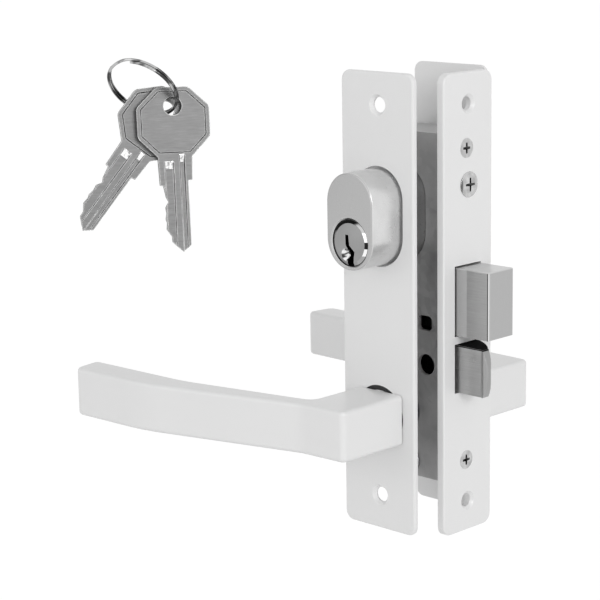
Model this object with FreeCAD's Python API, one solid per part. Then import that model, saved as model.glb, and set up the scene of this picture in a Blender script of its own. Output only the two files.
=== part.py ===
import FreeCAD, Part
import math
import os

# Mortise lock set for a narrow-stile door: case with faceplate, deadbolt and bevelled latch, two lever
# handles on escutcheons, an oval key cylinder on one side, and a pair of keys on a split ring beside it.
# The pieces are laid out from the faceplate's front face and the middle of the door's thickness. At the end
# they are moved so that the origin is at the middle of the faceplate's back, where it seats on the door's
# edge. +X is the way the bolts are thrown, +Z is up, and the keyed side of the door faces -Y. Sizes are in
# millimetres.

os.makedirs("parts", exist_ok=True)
V = FreeCAD.Vector

# Clearances
SLIDE_GAP = 0.15
TURN_GAP = 0.06
PLAY = 0.02
END_GAP = 0.35

# Door and the distance from its edge to the axes of the lever and the cylinder
DOOR_T = 31.84
BACKSET = 18.7
LEVER_Z = -33.4
CYLINDER_Z = 27.8

# Faceplate, and how far the lock's middle stands from the door's
LOCK_Y = 1.8
FACE_W = 22.2
FACE_H = 140.6
FACE_T = 2.5
FACE_CORNER = 3.2
FACE_EDGE = 0.5
FACE_HOLE_SPACING = 121.9
FACE_HOLE_R = 2.1
FACE_SINK_R = 3.0

# Escutcheons
PLATE_W = 28.6
PLATE_H = 140.0
PLATE_T = 1.5
PLATE_X = -19.0
PLATE_Z = 0.8
PLATE_CORNER = 3.0
PLATE_EDGE = 0.7
PLATE_HOLE_SPACING = 119.6
PLATE_HOLE_Z = 1.2
PLATE_HOLE_R = 2.3
PLATE_SINK_R = 3.2
PLATE_BORE_R = 9.45
WINDOW_GAP = 0.68

# Lock case
SHEET = 1.2
CASE_T = 16.8
CASE_DEPTH = 32.0
CASE_TOP = 52.6
CASE_BOTTOM = -53.7
PORT_R = 3.25
PORT_AT = (-9.3, -18.0)
PANE_W = 5.4
PANE_H = 4.6
PANE_CORNER = 1.4
PANE_AT = (-9.7, -5.2)
BOSS_DEPTH = 5.5
BOSS_W = 7.0
BOSS_REACH = 3.3
RIVET_R = 1.6
RIVET_HEAD_R = 2.9
RIVET_HEAD_H = 0.8
RIVET_EDGE = 4.6
RIVETS_ABOVE = (4.0, 17.0)
RIVET_CLEAR = 1.5
RIVET_STEP = 8.5

# Faceplate screws and cylinder screw
SCREW_ASIDE = -0.6
SCREW_Z = 47.85
SCREW_R = 1.75
SCREW_HEAD_R = 3.05
SCREW_LENGTH = 8.6
FIXING_ASIDE = 0.4
FIXING_Z = 36.9
FIXING_R = 2.4
FIXING_HEAD_R = 3.9
FIXING_DOME = 0.6
FIXING_LENGTH = 19.5
SINK_SLOPE = 0.9
CROSS_W = 0.9
CROSS_REACH = 3.2
CROSS_DEPTH = 1.5

# Deadbolt
BOLT_THICK = 11.3
BOLT_TOP = 12.5
BOLT_BOTTOM = -8.1
BOLT_THROW = 12.9
BOLT_HEAD_BACK = 3.5
BOLT_BACK = 19.5
BOLT_TAIL_T = 6.0
BOLT_EDGE = 0.6
BOLT_WINDOW = 0.45
GUIDE_R = 1.5
GUIDE_BEHIND = 3.0
GUIDE_Z = -2.0

# Latch
LATCH_TOP = -11.2
LATCH_BOTTOM = -25.8
LATCH_THICK = 10.0
LATCH_NOSE = 11.8
LATCH_FACE = 9.4
LATCH_TIP = (0.0, 1.1)
LATCH_LIP = (-1.9, 2.4)
LATCH_BEVEL = (-5.6, 6.2)
LATCH_HEEL = -0.4
LATCH_BACK = 6.0
LATCH_TRAVEL = 11.0
LATCH_CROWN_R = 16.5
LATCH_WINDOW = 1.1
TAIL_T = 3.0
TAIL_Z = -16.9
TAIL_H = 7.4
TAIL_ROOT = 1.0
TAIL_WEB = 2.6
TAIL_PIN_R = 1.1
TAIL_PIN_PITCH = 4.0

# Divider between the bolts and the friction strip on it
DIVIDER_GAP = 0.3
DIVIDER_T = 1.5
STRIP_W = 5.0
STRIP_T = 0.4
STRIP_FOOT = 2.0
STRIP_FROM = -14.5
STRIP_TO = -4.6

# Hub, its arms and the spindle
HUB_R = 7.4
TRUNNION_R = 6.6
HUB_SIDE_GAP = 0.6
LEVER_TURN = 42.0
ARM_W = 2.4
ARM_T = 2.8
ARM_PAD_R = 2.0
HEEL_REACH = 10.6
HEEL_PAD_R = 2.2
SPINDLE = 8.0
SPINDLE_HALF = 34.0
SPINDLE_GAP = 0.05
SPINDLE_EDGE = 0.5

# Return spring and what guides it
PLUNGER_X = -29.0
PLUNGER_R = 2.6
PLUNGER_HEAD = 1.8
SLEEVE_R = 1.75
ROD_R = 1.2
SEAT_T = 1.0
SPRING_WIRE = 0.7
SPRING_R = 2.25
SPRING_TURNS = 7

# Lever handles, in plan: distance along X from the axis and distance from the door's mid-plane
LEVER_H = 15.6
LEVER_EDGE = 1.3
LEVER_GAP = 0.3
BLOCK_INNER = 9.3
BLOCK_OUTER = 8.3
BLOCK_FRONT = 43.4
BLOCK_CORNER = 1.8
GRIP_START = (7.6, 44.2)
GRIP_BEND = (62.5, 58.9)
GRIP_END = (93.3, 59.8)
TIP_BACK = (95.3, 48.9)
INNER_FAR = (54.0, 47.6)
INNER_ROOT = 38.1
SOFT_BEND = 20.0
WIDE_BEND = 60.0
TIP_FRONT_R = 3.0
TIP_BACK_R = 2.0
INNER_ROOT_R = 3.0
NECK_R = 7.9
NECK_END = 10.6
GRUB_R = 2.5
GRUB_LENGTH = 3.4
GRUB_AT = 30.0
GRUB_SOCKET = 1.25
GRUB_SOCKET_DEPTH = 1.8
BUSH_FLANGE_R = 11.2
BUSH_FLANGE_T = 0.6
BUSH_SUNK = 0.25

# Oval cylinder
OVAL_HALF_W = 9.09
OVAL_HALF_H = 14.53
OVAL_FRONT = -30.0
OVAL_BACK = 10.0
OVAL_EDGE = 0.5
OVAL_FIT = 0.12
PLUG_Z = 21.54
PLUG_R = 7.1
PLUG_END = -3.0
PLUG_SUNK = 0.15
PLUG_BEVEL_W = 1.3
PLUG_BEVEL_H = 0.5
MOUTH_RIM = 0.35
CAM_SIDE_GAP = 0.1
CAM_T = 8.0
CAM_R = 6.3
CAM_GAP_TOP = 33.5
CAM_TURN = 70.0
CAM_NECK_W = 1.9
CAM_PAD_R = 1.4
NOTCH_GAP = 0.3
SPIGOT_R = 4.2
SPIGOT_FLAT = 3.0
STUB_R = 5.0
CAM_SCREW_R = 1.5
CAM_SCREW_HEAD_R = 3.3
CAM_SCREW_HEAD_H = 2.0
CAM_SCREW_LENGTH = 7.0
CAM_CROSS_DEPTH = 1.2

# Pins and their springs
PIN_COUNT = 5
PIN_FIRST = -26.0
PIN_PITCH = 4.4
PIN_R = 1.4
PIN_TIPS = (21.3, 20.5, 21.0, 20.2, 20.8)
DRIVER_LENGTH = 4.6
CHAMBER_TOP = 39.4
PIN_WIRE = 0.35
PIN_COIL_R = 0.95
PIN_COILS = 5

# Keyway, as points round its outline in the plug's face, from the plug's axis
KEYWAY = (
    (-1.8, 2.36), (-0.6, 2.36), (-0.2, -0.74), (1.9, -2.54), (1.6, -4.24), (1.4, -7.64),
    (-1.1, -7.64), (-0.8, -4.34), (-0.2, -2.84), (-1.7, -0.74),
)

# Flare that leads the key into the lower end of the keyway
FLARE_ASIDE = 1.5
FLARE_BELOW = 3.6
FLARE_DEPTH = 1.6
FLARE_R0 = 0.4
FLARE_R1 = 1.85

# Keys: half widths right and left of the blade's line, at heights above the hole
KEY_T = 2.0
KEY_HOLE_R = 2.75
KEY_BOW = (
    (4.8, 5.7), (11.0, -0.25), (11.0, -9.3), (5.2, -15.2), (4.9, -22.3), (3.65, -22.5), (3.65, -41.9),
    (1.26, -43.9), (-1.9, -40.9), (-2.0, -39.2), (-3.48, -37.0), (-3.3, -35.0), (-3.66, -33.9),
    (-3.33, -32.2), (-3.57, -30.4), (-2.55, -28.7), (-3.24, -27.4), (-3.9, -23.9), (-4.9, -23.7),
    (-5.2, -15.2), (-11.0, -9.3), (-11.0, -0.25), (-4.8, 5.7),
)
KEY_CORNER = 2.2
KEY_GROOVES = ((-3.2, -0.6, -16.5), (1.4, 2.7, -14.5))
KEY_BACK_GROOVE = (0.2, 1.3, -16.0)
KEY_GROOVE_DEPTH = 0.55
KEY_PANEL = (
    (4.8, 5.7), (11.0, -0.25), (11.0, -9.3), (5.2, -15.2), (-5.2, -15.2), (-11.0, -9.3), (-11.0, -0.25),
    (-4.8, 5.7),
)
KEY_RIM = 1.15
KEY_PANEL_DEPTH = 0.25
KEY_BOW_FOOT = -12.0

# Where the keys and their ring stand beside the lock: they face along one line of sight
SIGHT_YAW = 44.689
SIGHT_TILT = 11.994
SIGHT_ROLL = -0.926
KEY_FRONT_AT = (-70.966, -51.361, 60.295)
KEY_FRONT_TURN = 3.1
KEY_REAR_BEHIND = 2.6
KEY_REAR_ASIDE = (-1.8, -1.3)
KEY_REAR_TURN = -36.0
KEYS_LEAN = 12.0
KEYS_LEAN_WAY = 19.5
RING_R = 11.0
RING_WIRE = 0.9
RING_PITCH = 1.33
RING_FROM_KEY = (-8.64, 5.3, 2.18)
RING_TURN = -25.5
RING_TILT = 57.1
RING_START = 121.0

# Derived places
AXIS_X = -BACKSET
DOOR_HALF = DOOR_T / 2
PLATE_FACE = DOOR_HALF + PLATE_T
CASE_NEAR = LOCK_Y - CASE_T / 2
CASE_FAR = LOCK_Y + CASE_T / 2
CASE_FRONT = -FACE_T
CASE_REAR = CASE_FRONT - CASE_DEPTH
INNER_Y0 = CASE_NEAR + SHEET
INNER_Y1 = CASE_FAR - SHEET
INNER_X0 = CASE_REAR + SHEET
INNER_X1 = CASE_FRONT - SHEET
INNER_Z0 = CASE_BOTTOM + SHEET
INNER_Z1 = CASE_TOP - SHEET
HALF_TURN = math.radians(LEVER_TURN / 2)
ARM_REACH = LATCH_TRAVEL / (2 * math.sin(HALF_TURN))
PAD_X = AXIS_X + LATCH_TRAVEL / 2
HEEL_Z = LEVER_Z + HEEL_REACH * math.sin(HALF_TURN)
HALF_CAM = math.radians(CAM_TURN / 2)
CAM_REACH = BOLT_THROW / (2 * math.sin(HALF_CAM))
CAM_PAD_X = AXIS_X + BOLT_THROW / 2
NOTCH_FLOOR = PLUG_Z - CAM_REACH - CAM_PAD_R - SLIDE_GAP
PLUG_FRONT = OVAL_FRONT + PLUG_SUNK
CAM_FROM = PLUG_END + CAM_SIDE_GAP
CAM_TO = CAM_FROM + CAM_T
GUIDE_X = -BOLT_BACK + GUIDE_BEHIND
DIVIDER_Z0 = LATCH_TOP + DIVIDER_GAP
DIVIDER_Z1 = DIVIDER_Z0 + DIVIDER_T
PLUNGER_TOP = HEEL_Z - HEEL_PAD_R - TURN_GAP
PLUNGER_NECK = PLUNGER_TOP - PLUNGER_HEAD
PLUNGER_TRAVEL = 2 * HEEL_REACH * math.sin(HALF_TURN)
SEAT_TOP = INNER_Z0 + SEAT_T
SLEEVE_END = SEAT_TOP + PLUNGER_TRAVEL + END_GAP
ROD_TOP = PLUNGER_NECK - PLUNGER_TRAVEL - END_GAP
LATCH_NEAR = LOCK_Y - LATCH_THICK / 2
SCREW_Y = LOCK_Y + SCREW_ASIDE
FIXING_Y = LOCK_Y + FIXING_ASIDE


# Shapes used by several pieces

def box(x0, x1, y0, y1, z0, z1):
    """Block between two corners."""
    return Part.makeBox(x1 - x0, y1 - y0, z1 - z0, V(x0, y0, z0))


def rod_x(r, x0, x1, y, z):
    """Round bar along X."""
    return Part.makeCylinder(r, x1 - x0, V(x0, y, z), V(1, 0, 0))


def rod_y(r, y0, y1, x, z):
    """Round bar along Y."""
    return Part.makeCylinder(r, y1 - y0, V(x, y0, z), V(0, 1, 0))


def rod_z(r, z0, z1, x, y):
    """Round bar along Z."""
    return Part.makeCylinder(r, z1 - z0, V(x, y, z0), V(0, 0, 1))


def polygon(points):
    """Closed flat outline through the points."""
    return Part.makePolygon(list(points) + [points[0]])


def prism(wire, way):
    """Solid swept straight from a flat outline."""
    return Part.Face(wire).extrude(way)


def round_edges(shape, radius, wanted):
    """Round the edges that the test picks."""
    edges = [edge for edge in shape.Edges if wanted(edge)]
    return shape.makeFillet(radius, edges)


def runs_along(edge, way):
    """True for a straight edge that runs along the given direction."""
    if edge.Curve.TypeId != "Part::GeomLine":
        return False
    return abs(edge.Curve.Direction.dot(way)) > 0.999


def lies_at(edge, way, level):
    """True for an edge that lies wholly in the plane at this level along the direction."""
    box_of = edge.BoundBox
    if way == "x":
        return abs(box_of.XMin - level) < 1e-4 and abs(box_of.XMax - level) < 1e-4
    if way == "y":
        return abs(box_of.YMin - level) < 1e-4 and abs(box_of.YMax - level) < 1e-4
    return abs(box_of.ZMin - level) < 1e-4 and abs(box_of.ZMax - level) < 1e-4


def stands_over(edge, corner):
    """True for an upright straight edge that passes through the corner."""
    if not runs_along(edge, V(0, 0, 1)):
        return False
    start = edge.Vertexes[0].Point
    return math.hypot(start.x - corner.x, start.y - corner.y) < 1e-4


def stadium(x, z, half_w, half_h, y0, y1):
    """Upright oval with half-round ends, swept along Y."""
    rise = half_h - half_w
    top = Part.Arc(V(x + half_w, y0, z + rise), V(x, y0, z + half_h), V(x - half_w, y0, z + rise))
    left = Part.LineSegment(V(x - half_w, y0, z + rise), V(x - half_w, y0, z - rise))
    low = Part.Arc(V(x - half_w, y0, z - rise), V(x, y0, z - half_h), V(x + half_w, y0, z - rise))
    right = Part.LineSegment(V(x + half_w, y0, z - rise), V(x + half_w, y0, z + rise))
    wire = Part.Wire([top.toShape(), left.toShape(), low.toShape(), right.toShape()])
    return prism(wire, V(0, y1 - y0, 0))


def cone(small, large, tip, base):
    """Frustum from the small end at tip to the large end at base."""
    way = base.sub(tip)
    return Part.makeCone(small, large, way.Length, tip, way)


def coil(radius, wire_r, pitch, half_turns):
    """Coil of round wire about Z from its first half turn's start, with short straight ends."""
    mid = math.sqrt(radius ** 2 + (pitch / 4) ** 2)
    edges = []
    for index in range(half_turns):
        side = 1 if index % 2 == 0 else -1
        z = index * pitch / 2
        start = V(side * radius, 0, z)
        over = V(0, side * mid, z + pitch / 4)
        end = V(-side * radius, 0, z + pitch / 2)
        edges.append(Part.Arc(start, over, end).toShape())
    first = edges[0]
    last = edges[-1]
    way_in = first.tangentAt(first.FirstParameter)
    way_out = last.tangentAt(last.LastParameter)
    head = first.valueAt(first.FirstParameter)
    tail = last.valueAt(last.LastParameter)
    lead = Part.makeLine(head.sub(way_in.multiply(2 * wire_r)), head)
    trail = Part.makeLine(tail, tail.add(way_out.multiply(2 * wire_r)))
    path = Part.Wire([lead] + edges + [trail])
    start = lead.valueAt(lead.FirstParameter)
    way = lead.tangentAt(lead.FirstParameter)
    ring = Part.Wire([Part.Circle(start, way, wire_r).toShape()])
    return path.makePipeShell([ring], True, False)


def cross_recess(x_face, y, z):
    """Cross slot sunk into a screw head that faces +X."""
    half = CROSS_REACH / 2
    slot = CROSS_W / 2
    bottom = x_face - CROSS_DEPTH
    upright = box(bottom, x_face + 1, y - slot, y + slot, z - half, z + half)
    level = box(bottom, x_face + 1, y - half, y + half, z - slot, z + slot)
    return upright.fuse(level)


def sunk_head(x_face, y, z, shank_r, head_r, extra):
    """Cone of a sunk head in a face towards +X, wider by the extra."""
    depth = (head_r - shank_r) * SINK_SLOPE
    return cone(shank_r + extra, head_r + extra, V(x_face - depth, y, z), V(x_face, y, z))


def one(shape):
    """The single solid of a shape."""
    if len(shape.Solids) != 1:
        raise ValueError("expected one solid, found %d" % len(shape.Solids))
    return shape.removeSplitter()


# Faceplate and case

def make_faceplate():
    half_w = FACE_W / 2
    half_h = FACE_H / 2
    plate = box(-FACE_T, 0, LOCK_Y - half_w, LOCK_Y + half_w, -half_h, half_h)
    plate = round_edges(plate, FACE_CORNER, lambda e: runs_along(e, V(1, 0, 0)))
    plate = round_edges(plate, FACE_EDGE, lambda e: lies_at(e, "x", 0))
    plate = plate.cut(bolt_window(-FACE_T - 1, 1, BOLT_WINDOW))
    plate = plate.cut(latch_window(-FACE_T - 1, 1, LATCH_WINDOW))
    for side in (-1, 1):
        z = side * FACE_HOLE_SPACING / 2
        plate = plate.cut(rod_x(FACE_HOLE_R, -FACE_T - 1, 1, LOCK_Y, z))
        plate = plate.cut(sunk_head(0, LOCK_Y, z, FACE_HOLE_R, FACE_SINK_R, 0))
        plate = plate.cut(rod_x(SCREW_R + SLIDE_GAP, -FACE_T - 1, 1, SCREW_Y, side * SCREW_Z))
        plate = plate.cut(sunk_head(0, SCREW_Y, side * SCREW_Z, SCREW_R, SCREW_HEAD_R, PLAY))
    plate = plate.cut(rod_x(FIXING_R + SLIDE_GAP, -FACE_T - 1, 1, FIXING_Y, FIXING_Z))
    plate = plate.cut(sunk_head(0, FIXING_Y, FIXING_Z, FIXING_R, FIXING_HEAD_R, PLAY))
    return one(plate)


def bolt_window(x0, x1, gap):
    """Space that the deadbolt's head passes through."""
    half = BOLT_THICK / 2 + gap
    return box(x0, x1, LOCK_Y - half, LOCK_Y + half, BOLT_BOTTOM - gap, BOLT_TOP + gap)


def latch_window(x0, x1, gap):
    """Space that the latch's head passes through."""
    low = min(gap, DIVIDER_GAP)
    y0 = LATCH_NEAR - gap
    y1 = LATCH_NEAR + LATCH_THICK + gap
    return box(x0, x1, y0, y1, LATCH_BOTTOM - low, LATCH_TOP + low)


def rivet_places():
    """Middles of the four case rivets, as (x, z)."""
    above = [(CASE_REAR + inset, CASE_TOP - RIVET_EDGE) for inset in RIVETS_ABOVE]
    ahead = PLUNGER_X + PLUNGER_R + RIVET_CLEAR + RIVET_R
    below = [(x, CASE_BOTTOM + RIVET_EDGE) for x in (ahead, ahead + RIVET_STEP)]
    return above + below


def cut_wall_holes(shape):
    """Holes that both side walls of the case share."""
    y0 = CASE_NEAR - 1
    y1 = CASE_FAR + 1
    shape = shape.cut(stadium(AXIS_X, CYLINDER_Z, OVAL_HALF_W + OVAL_FIT, OVAL_HALF_H + OVAL_FIT, y0, y1))
    shape = shape.cut(rod_y(TRUNNION_R + TURN_GAP, y0, y1, AXIS_X, LEVER_Z))
    shape = shape.cut(rod_y(GUIDE_R, y0, y1, GUIDE_X, GUIDE_Z))
    for x, z in rivet_places():
        shape = shape.cut(rod_y(RIVET_R, y0, y1, x, z))
    return shape


def make_case_body():
    shell = box(CASE_REAR, CASE_FRONT, INNER_Y0, CASE_FAR, CASE_BOTTOM, CASE_TOP)
    shell = shell.cut(box(INNER_X0, INNER_X1, INNER_Y0 - 1, INNER_Y1, INNER_Z0, INNER_Z1))
    for side in (-1, 1):
        edge = INNER_Z1 if side > 0 else INNER_Z0
        low = min(edge, side * (SCREW_Z - BOSS_REACH))
        high = max(edge, side * (SCREW_Z - BOSS_REACH))
        y0 = SCREW_Y - BOSS_W / 2
        shell = shell.fuse(box(INNER_X1 - BOSS_DEPTH, INNER_X1, y0, y0 + BOSS_W, low, high))
        shell = shell.cut(rod_x(SCREW_R, -SCREW_LENGTH, 0, SCREW_Y, side * SCREW_Z))
    shell = cut_wall_holes(shell)
    shell = shell.cut(bolt_window(INNER_X1 - 1, CASE_FRONT + 1, SLIDE_GAP))
    shell = shell.cut(latch_window(INNER_X1 - 1, CASE_FRONT + 1, SLIDE_GAP))
    shell = shell.cut(rod_x(FIXING_R + SLIDE_GAP, INNER_X1 - 1, 0, FIXING_Y, FIXING_Z))
    shell = shell.cut(rod_z(ROD_R, CASE_BOTTOM - 1, INNER_Z0 + 1, PLUNGER_X, LOCK_Y))
    return one(shell)


def make_case_cover():
    wall = box(CASE_REAR, CASE_FRONT, CASE_NEAR, INNER_Y0, CASE_BOTTOM, CASE_TOP)
    wall = cut_wall_holes(wall)
    wall = wall.cut(rod_y(PORT_R, CASE_NEAR - 1, INNER_Y0 + 1, PORT_AT[0], PORT_AT[1]))
    half_w = PANE_W / 2
    half_h = PANE_H / 2
    x, z = PANE_AT
    pane = box(x - half_w, x + half_w, CASE_NEAR - 1, INNER_Y0 + 1, z - half_h, z + half_h)
    pane = round_edges(pane, PANE_CORNER, lambda e: runs_along(e, V(0, 1, 0)))
    return one(wall.cut(pane))


def make_case_rivets():
    rivets = []
    for x, z in rivet_places():
        rivet = rod_y(RIVET_R, CASE_NEAR, CASE_FAR, x, z)
        near = rod_y(RIVET_HEAD_R, CASE_NEAR - RIVET_HEAD_H, CASE_NEAR, x, z)
        far = rod_y(RIVET_HEAD_R, CASE_FAR, CASE_FAR + RIVET_HEAD_H, x, z)
        near = round_edges(near, RIVET_HEAD_H / 2, lambda e: lies_at(e, "y", CASE_NEAR - RIVET_HEAD_H))
        far = round_edges(far, RIVET_HEAD_H / 2, lambda e: lies_at(e, "y", CASE_FAR + RIVET_HEAD_H))
        rivets.append(one(rivet.fuse([near, far])))
    return Part.makeCompound(rivets)


def make_faceplate_screws():
    screws = []
    for side in (-1, 1):
        z = side * SCREW_Z
        screw = rod_x(SCREW_R, -SCREW_LENGTH + END_GAP, 0, SCREW_Y, z)
        screw = screw.fuse(sunk_head(0, SCREW_Y, z, SCREW_R, SCREW_HEAD_R, 0))
        screws.append(one(screw.cut(cross_recess(0, SCREW_Y, z))))
    return Part.makeCompound(screws)


def make_cylinder_screw():
    screw = rod_x(FIXING_R, -FIXING_LENGTH, 0, FIXING_Y, FIXING_Z)
    screw = screw.fuse(sunk_head(0, FIXING_Y, FIXING_Z, FIXING_R, FIXING_HEAD_R, 0))
    dome_r = (FIXING_HEAD_R ** 2 + FIXING_DOME ** 2) / (2 * FIXING_DOME)
    dome = Part.makeSphere(dome_r, V(FIXING_DOME - dome_r, FIXING_Y, FIXING_Z))
    dome = dome.common(rod_x(FIXING_HEAD_R, 0, FIXING_DOME, FIXING_Y, FIXING_Z))
    screw = screw.fuse(dome)
    return one(screw.cut(cross_recess(FIXING_DOME, FIXING_Y, FIXING_Z)))


# Deadbolt, divider and friction strip

def make_deadbolt():
    y0 = LOCK_Y - BOLT_THICK / 2
    y1 = LOCK_Y + BOLT_THICK / 2
    head = box(-BOLT_HEAD_BACK, BOLT_THROW, y0, y1, BOLT_BOTTOM, BOLT_TOP)
    head = round_edges(head, BOLT_EDGE, lambda e: lies_at(e, "x", BOLT_THROW))
    tail_y0 = LOCK_Y - BOLT_TAIL_T / 2
    tail = box(-BOLT_BACK, -BOLT_HEAD_BACK, tail_y0, tail_y0 + BOLT_TAIL_T, BOLT_BOTTOM, BOLT_TOP)
    bolt = head.fuse(tail)
    half = CAM_PAD_R + NOTCH_GAP
    notch = box(CAM_PAD_X - half, CAM_PAD_X + half, y0 - 1, y1 + 1, NOTCH_FLOOR, BOLT_TOP + 1)
    slot_r = GUIDE_R + SLIDE_GAP
    slot = box(GUIDE_X, GUIDE_X + BOLT_THROW, y0 - 1, y1 + 1, GUIDE_Z - slot_r, GUIDE_Z + slot_r)
    slot = slot.fuse(rod_y(slot_r, y0 - 1, y1 + 1, GUIDE_X, GUIDE_Z))
    slot = slot.fuse(rod_y(slot_r, y0 - 1, y1 + 1, GUIDE_X + BOLT_THROW, GUIDE_Z))
    return one(bolt.cut(notch).cut(slot))


def make_bolt_guide_pin():
    return rod_y(GUIDE_R, CASE_NEAR, CASE_FAR, GUIDE_X, GUIDE_Z)


def make_bolt_divider():
    return box(INNER_X0, INNER_X1, INNER_Y0, INNER_Y1, DIVIDER_Z0, DIVIDER_Z1)


def make_friction_strip():
    y0 = LOCK_Y - STRIP_W / 2
    base = DIVIDER_Z1
    top = BOLT_BOTTOM - PLAY
    start = STRIP_FROM + STRIP_FOOT
    end = STRIP_TO - STRIP_FOOT
    mid = (start + end) / 2
    upper = Part.Arc(V(start, y0, base + STRIP_T), V(mid, y0, top), V(end, y0, base + STRIP_T)).toShape()
    lower = Part.Arc(V(end, y0, base), V(mid, y0, top - STRIP_T), V(start, y0, base)).toShape()
    corners = [
        V(end, y0, base + STRIP_T), V(STRIP_TO, y0, base + STRIP_T), V(STRIP_TO, y0, base), V(end, y0, base),
    ]
    front = Part.makePolygon(corners)
    corners = [
        V(start, y0, base), V(STRIP_FROM, y0, base), V(STRIP_FROM, y0, base + STRIP_T),
        V(start, y0, base + STRIP_T),
    ]
    rear = Part.makePolygon(corners)
    wire = Part.Wire(Part.sortEdges([upper] + front.Edges + [lower] + rear.Edges)[0])
    return prism(wire, V(0, STRIP_W, 0))


# Latch

def make_latch_bolt():
    z0 = LATCH_BOTTOM
    near = LATCH_NEAR
    far = near + LATCH_THICK
    nose = LATCH_NOSE
    face_end = V(LATCH_FACE, near, z0)
    heel = V(LATCH_HEEL, far, z0)
    lip = V(nose + LATCH_LIP[0], near + LATCH_LIP[1], z0)
    edges = Part.makePolygon([face_end, V(-LATCH_BACK, near, z0), V(-LATCH_BACK, far, z0), heel]).Edges
    bevel = Part.Arc(heel, V(nose + LATCH_BEVEL[0], near + LATCH_BEVEL[1], z0), lip).toShape()
    tip = Part.Arc(lip, V(nose + LATCH_TIP[0], near + LATCH_TIP[1], z0), face_end).toShape()
    wire = Part.Wire(Part.sortEdges(edges + [bevel, tip])[0])
    head = prism(wire, V(0, 0, LATCH_TOP - LATCH_BOTTOM))
    mid_z = (LATCH_TOP + LATCH_BOTTOM) / 2
    head = head.common(rod_y(LATCH_CROWN_R, near - 1, far + 1, nose - LATCH_CROWN_R, mid_z))
    y0 = LOCK_Y - TAIL_T / 2
    head = head.cut(box(-LATCH_BACK - 1, -TAIL_ROOT, y0, y0 + TAIL_T, TAIL_Z - TAIL_H / 2, TAIL_Z + TAIL_H / 2))
    for x, z in tail_pin_places():
        head = head.cut(rod_y(TAIL_PIN_R, near - 1, far + 1, x, z))
    return one(head)


def tail_pin_places():
    """Middles of the two pins that hold the latch's tail, as (x, z)."""
    x = -(LATCH_BACK + TAIL_ROOT) / 2
    return [(x, TAIL_Z - TAIL_PIN_PITCH / 2), (x, TAIL_Z + TAIL_PIN_PITCH / 2)]


def make_latch_tail():
    y0 = LOCK_Y - TAIL_T / 2
    half = ARM_PAD_R + SLIDE_GAP
    back = PAD_X - half - TAIL_WEB
    low = TAIL_Z - TAIL_H / 2
    tail = box(back, -TAIL_ROOT, y0, y0 + TAIL_T, low, TAIL_Z + TAIL_H / 2)
    slot_top = LEVER_Z + ARM_REACH + half
    tail = tail.cut(box(PAD_X - half, PAD_X + half, y0 - 1, y0 + TAIL_T + 1, low - 1, slot_top))
    for x, z in tail_pin_places():
        tail = tail.cut(rod_y(TAIL_PIN_R, y0 - 1, y0 + TAIL_T + 1, x, z))
    return one(tail)


def make_latch_pins():
    pins = [rod_y(TAIL_PIN_R, LATCH_NEAR, LATCH_NEAR + LATCH_THICK, x, z) for x, z in tail_pin_places()]
    return Part.makeCompound(pins)


# Hub, spindle and return spring

def make_hub():
    y0 = INNER_Y0 + HUB_SIDE_GAP
    y1 = INNER_Y1 - HUB_SIDE_GAP
    hub = rod_y(TRUNNION_R, CASE_NEAR, CASE_FAR, AXIS_X, LEVER_Z)
    hub = hub.fuse(rod_y(HUB_R, y0, y1, AXIS_X, LEVER_Z))
    a0 = LOCK_Y - ARM_T / 2
    a1 = LOCK_Y + ARM_T / 2
    arm = box(AXIS_X - ARM_W / 2, AXIS_X + ARM_W / 2, a0, a1, LEVER_Z, LEVER_Z + ARM_REACH)
    arm = arm.fuse(rod_y(ARM_PAD_R, a0, a1, AXIS_X, LEVER_Z + ARM_REACH))
    arm.rotate(V(AXIS_X, 0, LEVER_Z), V(0, 1, 0), LEVER_TURN / 2)
    heel = box(AXIS_X - HEEL_REACH, AXIS_X, a0, a1, LEVER_Z - ARM_W / 2, LEVER_Z + ARM_W / 2)
    heel = heel.fuse(rod_y(HEEL_PAD_R, a0, a1, AXIS_X - HEEL_REACH, LEVER_Z))
    heel.rotate(V(AXIS_X, 0, LEVER_Z), V(0, 1, 0), LEVER_TURN / 2)
    hub = hub.fuse([arm, heel])
    half = SPINDLE / 2 + SPINDLE_GAP
    hub = hub.cut(box(AXIS_X - half, AXIS_X + half, CASE_NEAR - 1, CASE_FAR + 1, LEVER_Z - half, LEVER_Z + half))
    return one(hub)


def make_spindle():
    half = SPINDLE / 2
    bar = box(AXIS_X - half, AXIS_X + half, -SPINDLE_HALF, SPINDLE_HALF, LEVER_Z - half, LEVER_Z + half)
    return round_edges(bar, SPINDLE_EDGE, lambda e: runs_along(e, V(0, 1, 0)))


def make_spring_plunger():
    head = rod_z(PLUNGER_R, PLUNGER_NECK, PLUNGER_TOP, PLUNGER_X, LOCK_Y)
    sleeve = rod_z(SLEEVE_R, SLEEVE_END, PLUNGER_NECK, PLUNGER_X, LOCK_Y)
    plunger = head.fuse(sleeve)
    return one(plunger.cut(rod_z(ROD_R + TURN_GAP, SLEEVE_END - 1, PLUNGER_NECK, PLUNGER_X, LOCK_Y)))


def make_spring_guide():
    rod = rod_z(ROD_R, CASE_BOTTOM, ROD_TOP, PLUNGER_X, LOCK_Y)
    return one(rod.fuse(rod_z(PLUNGER_R, INNER_Z0, SEAT_TOP, PLUNGER_X, LOCK_Y)))


def make_return_spring():
    wire_r = SPRING_WIRE / 2
    low = SEAT_TOP + wire_r + 2 * PLAY
    high = PLUNGER_NECK - wire_r - 2 * PLAY
    pitch = (high - low) / SPRING_TURNS
    spring = coil(SPRING_R, wire_r, pitch, 2 * SPRING_TURNS)
    spring.translate(V(PLUNGER_X, LOCK_Y, low))
    return spring


# Lever handles

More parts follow.
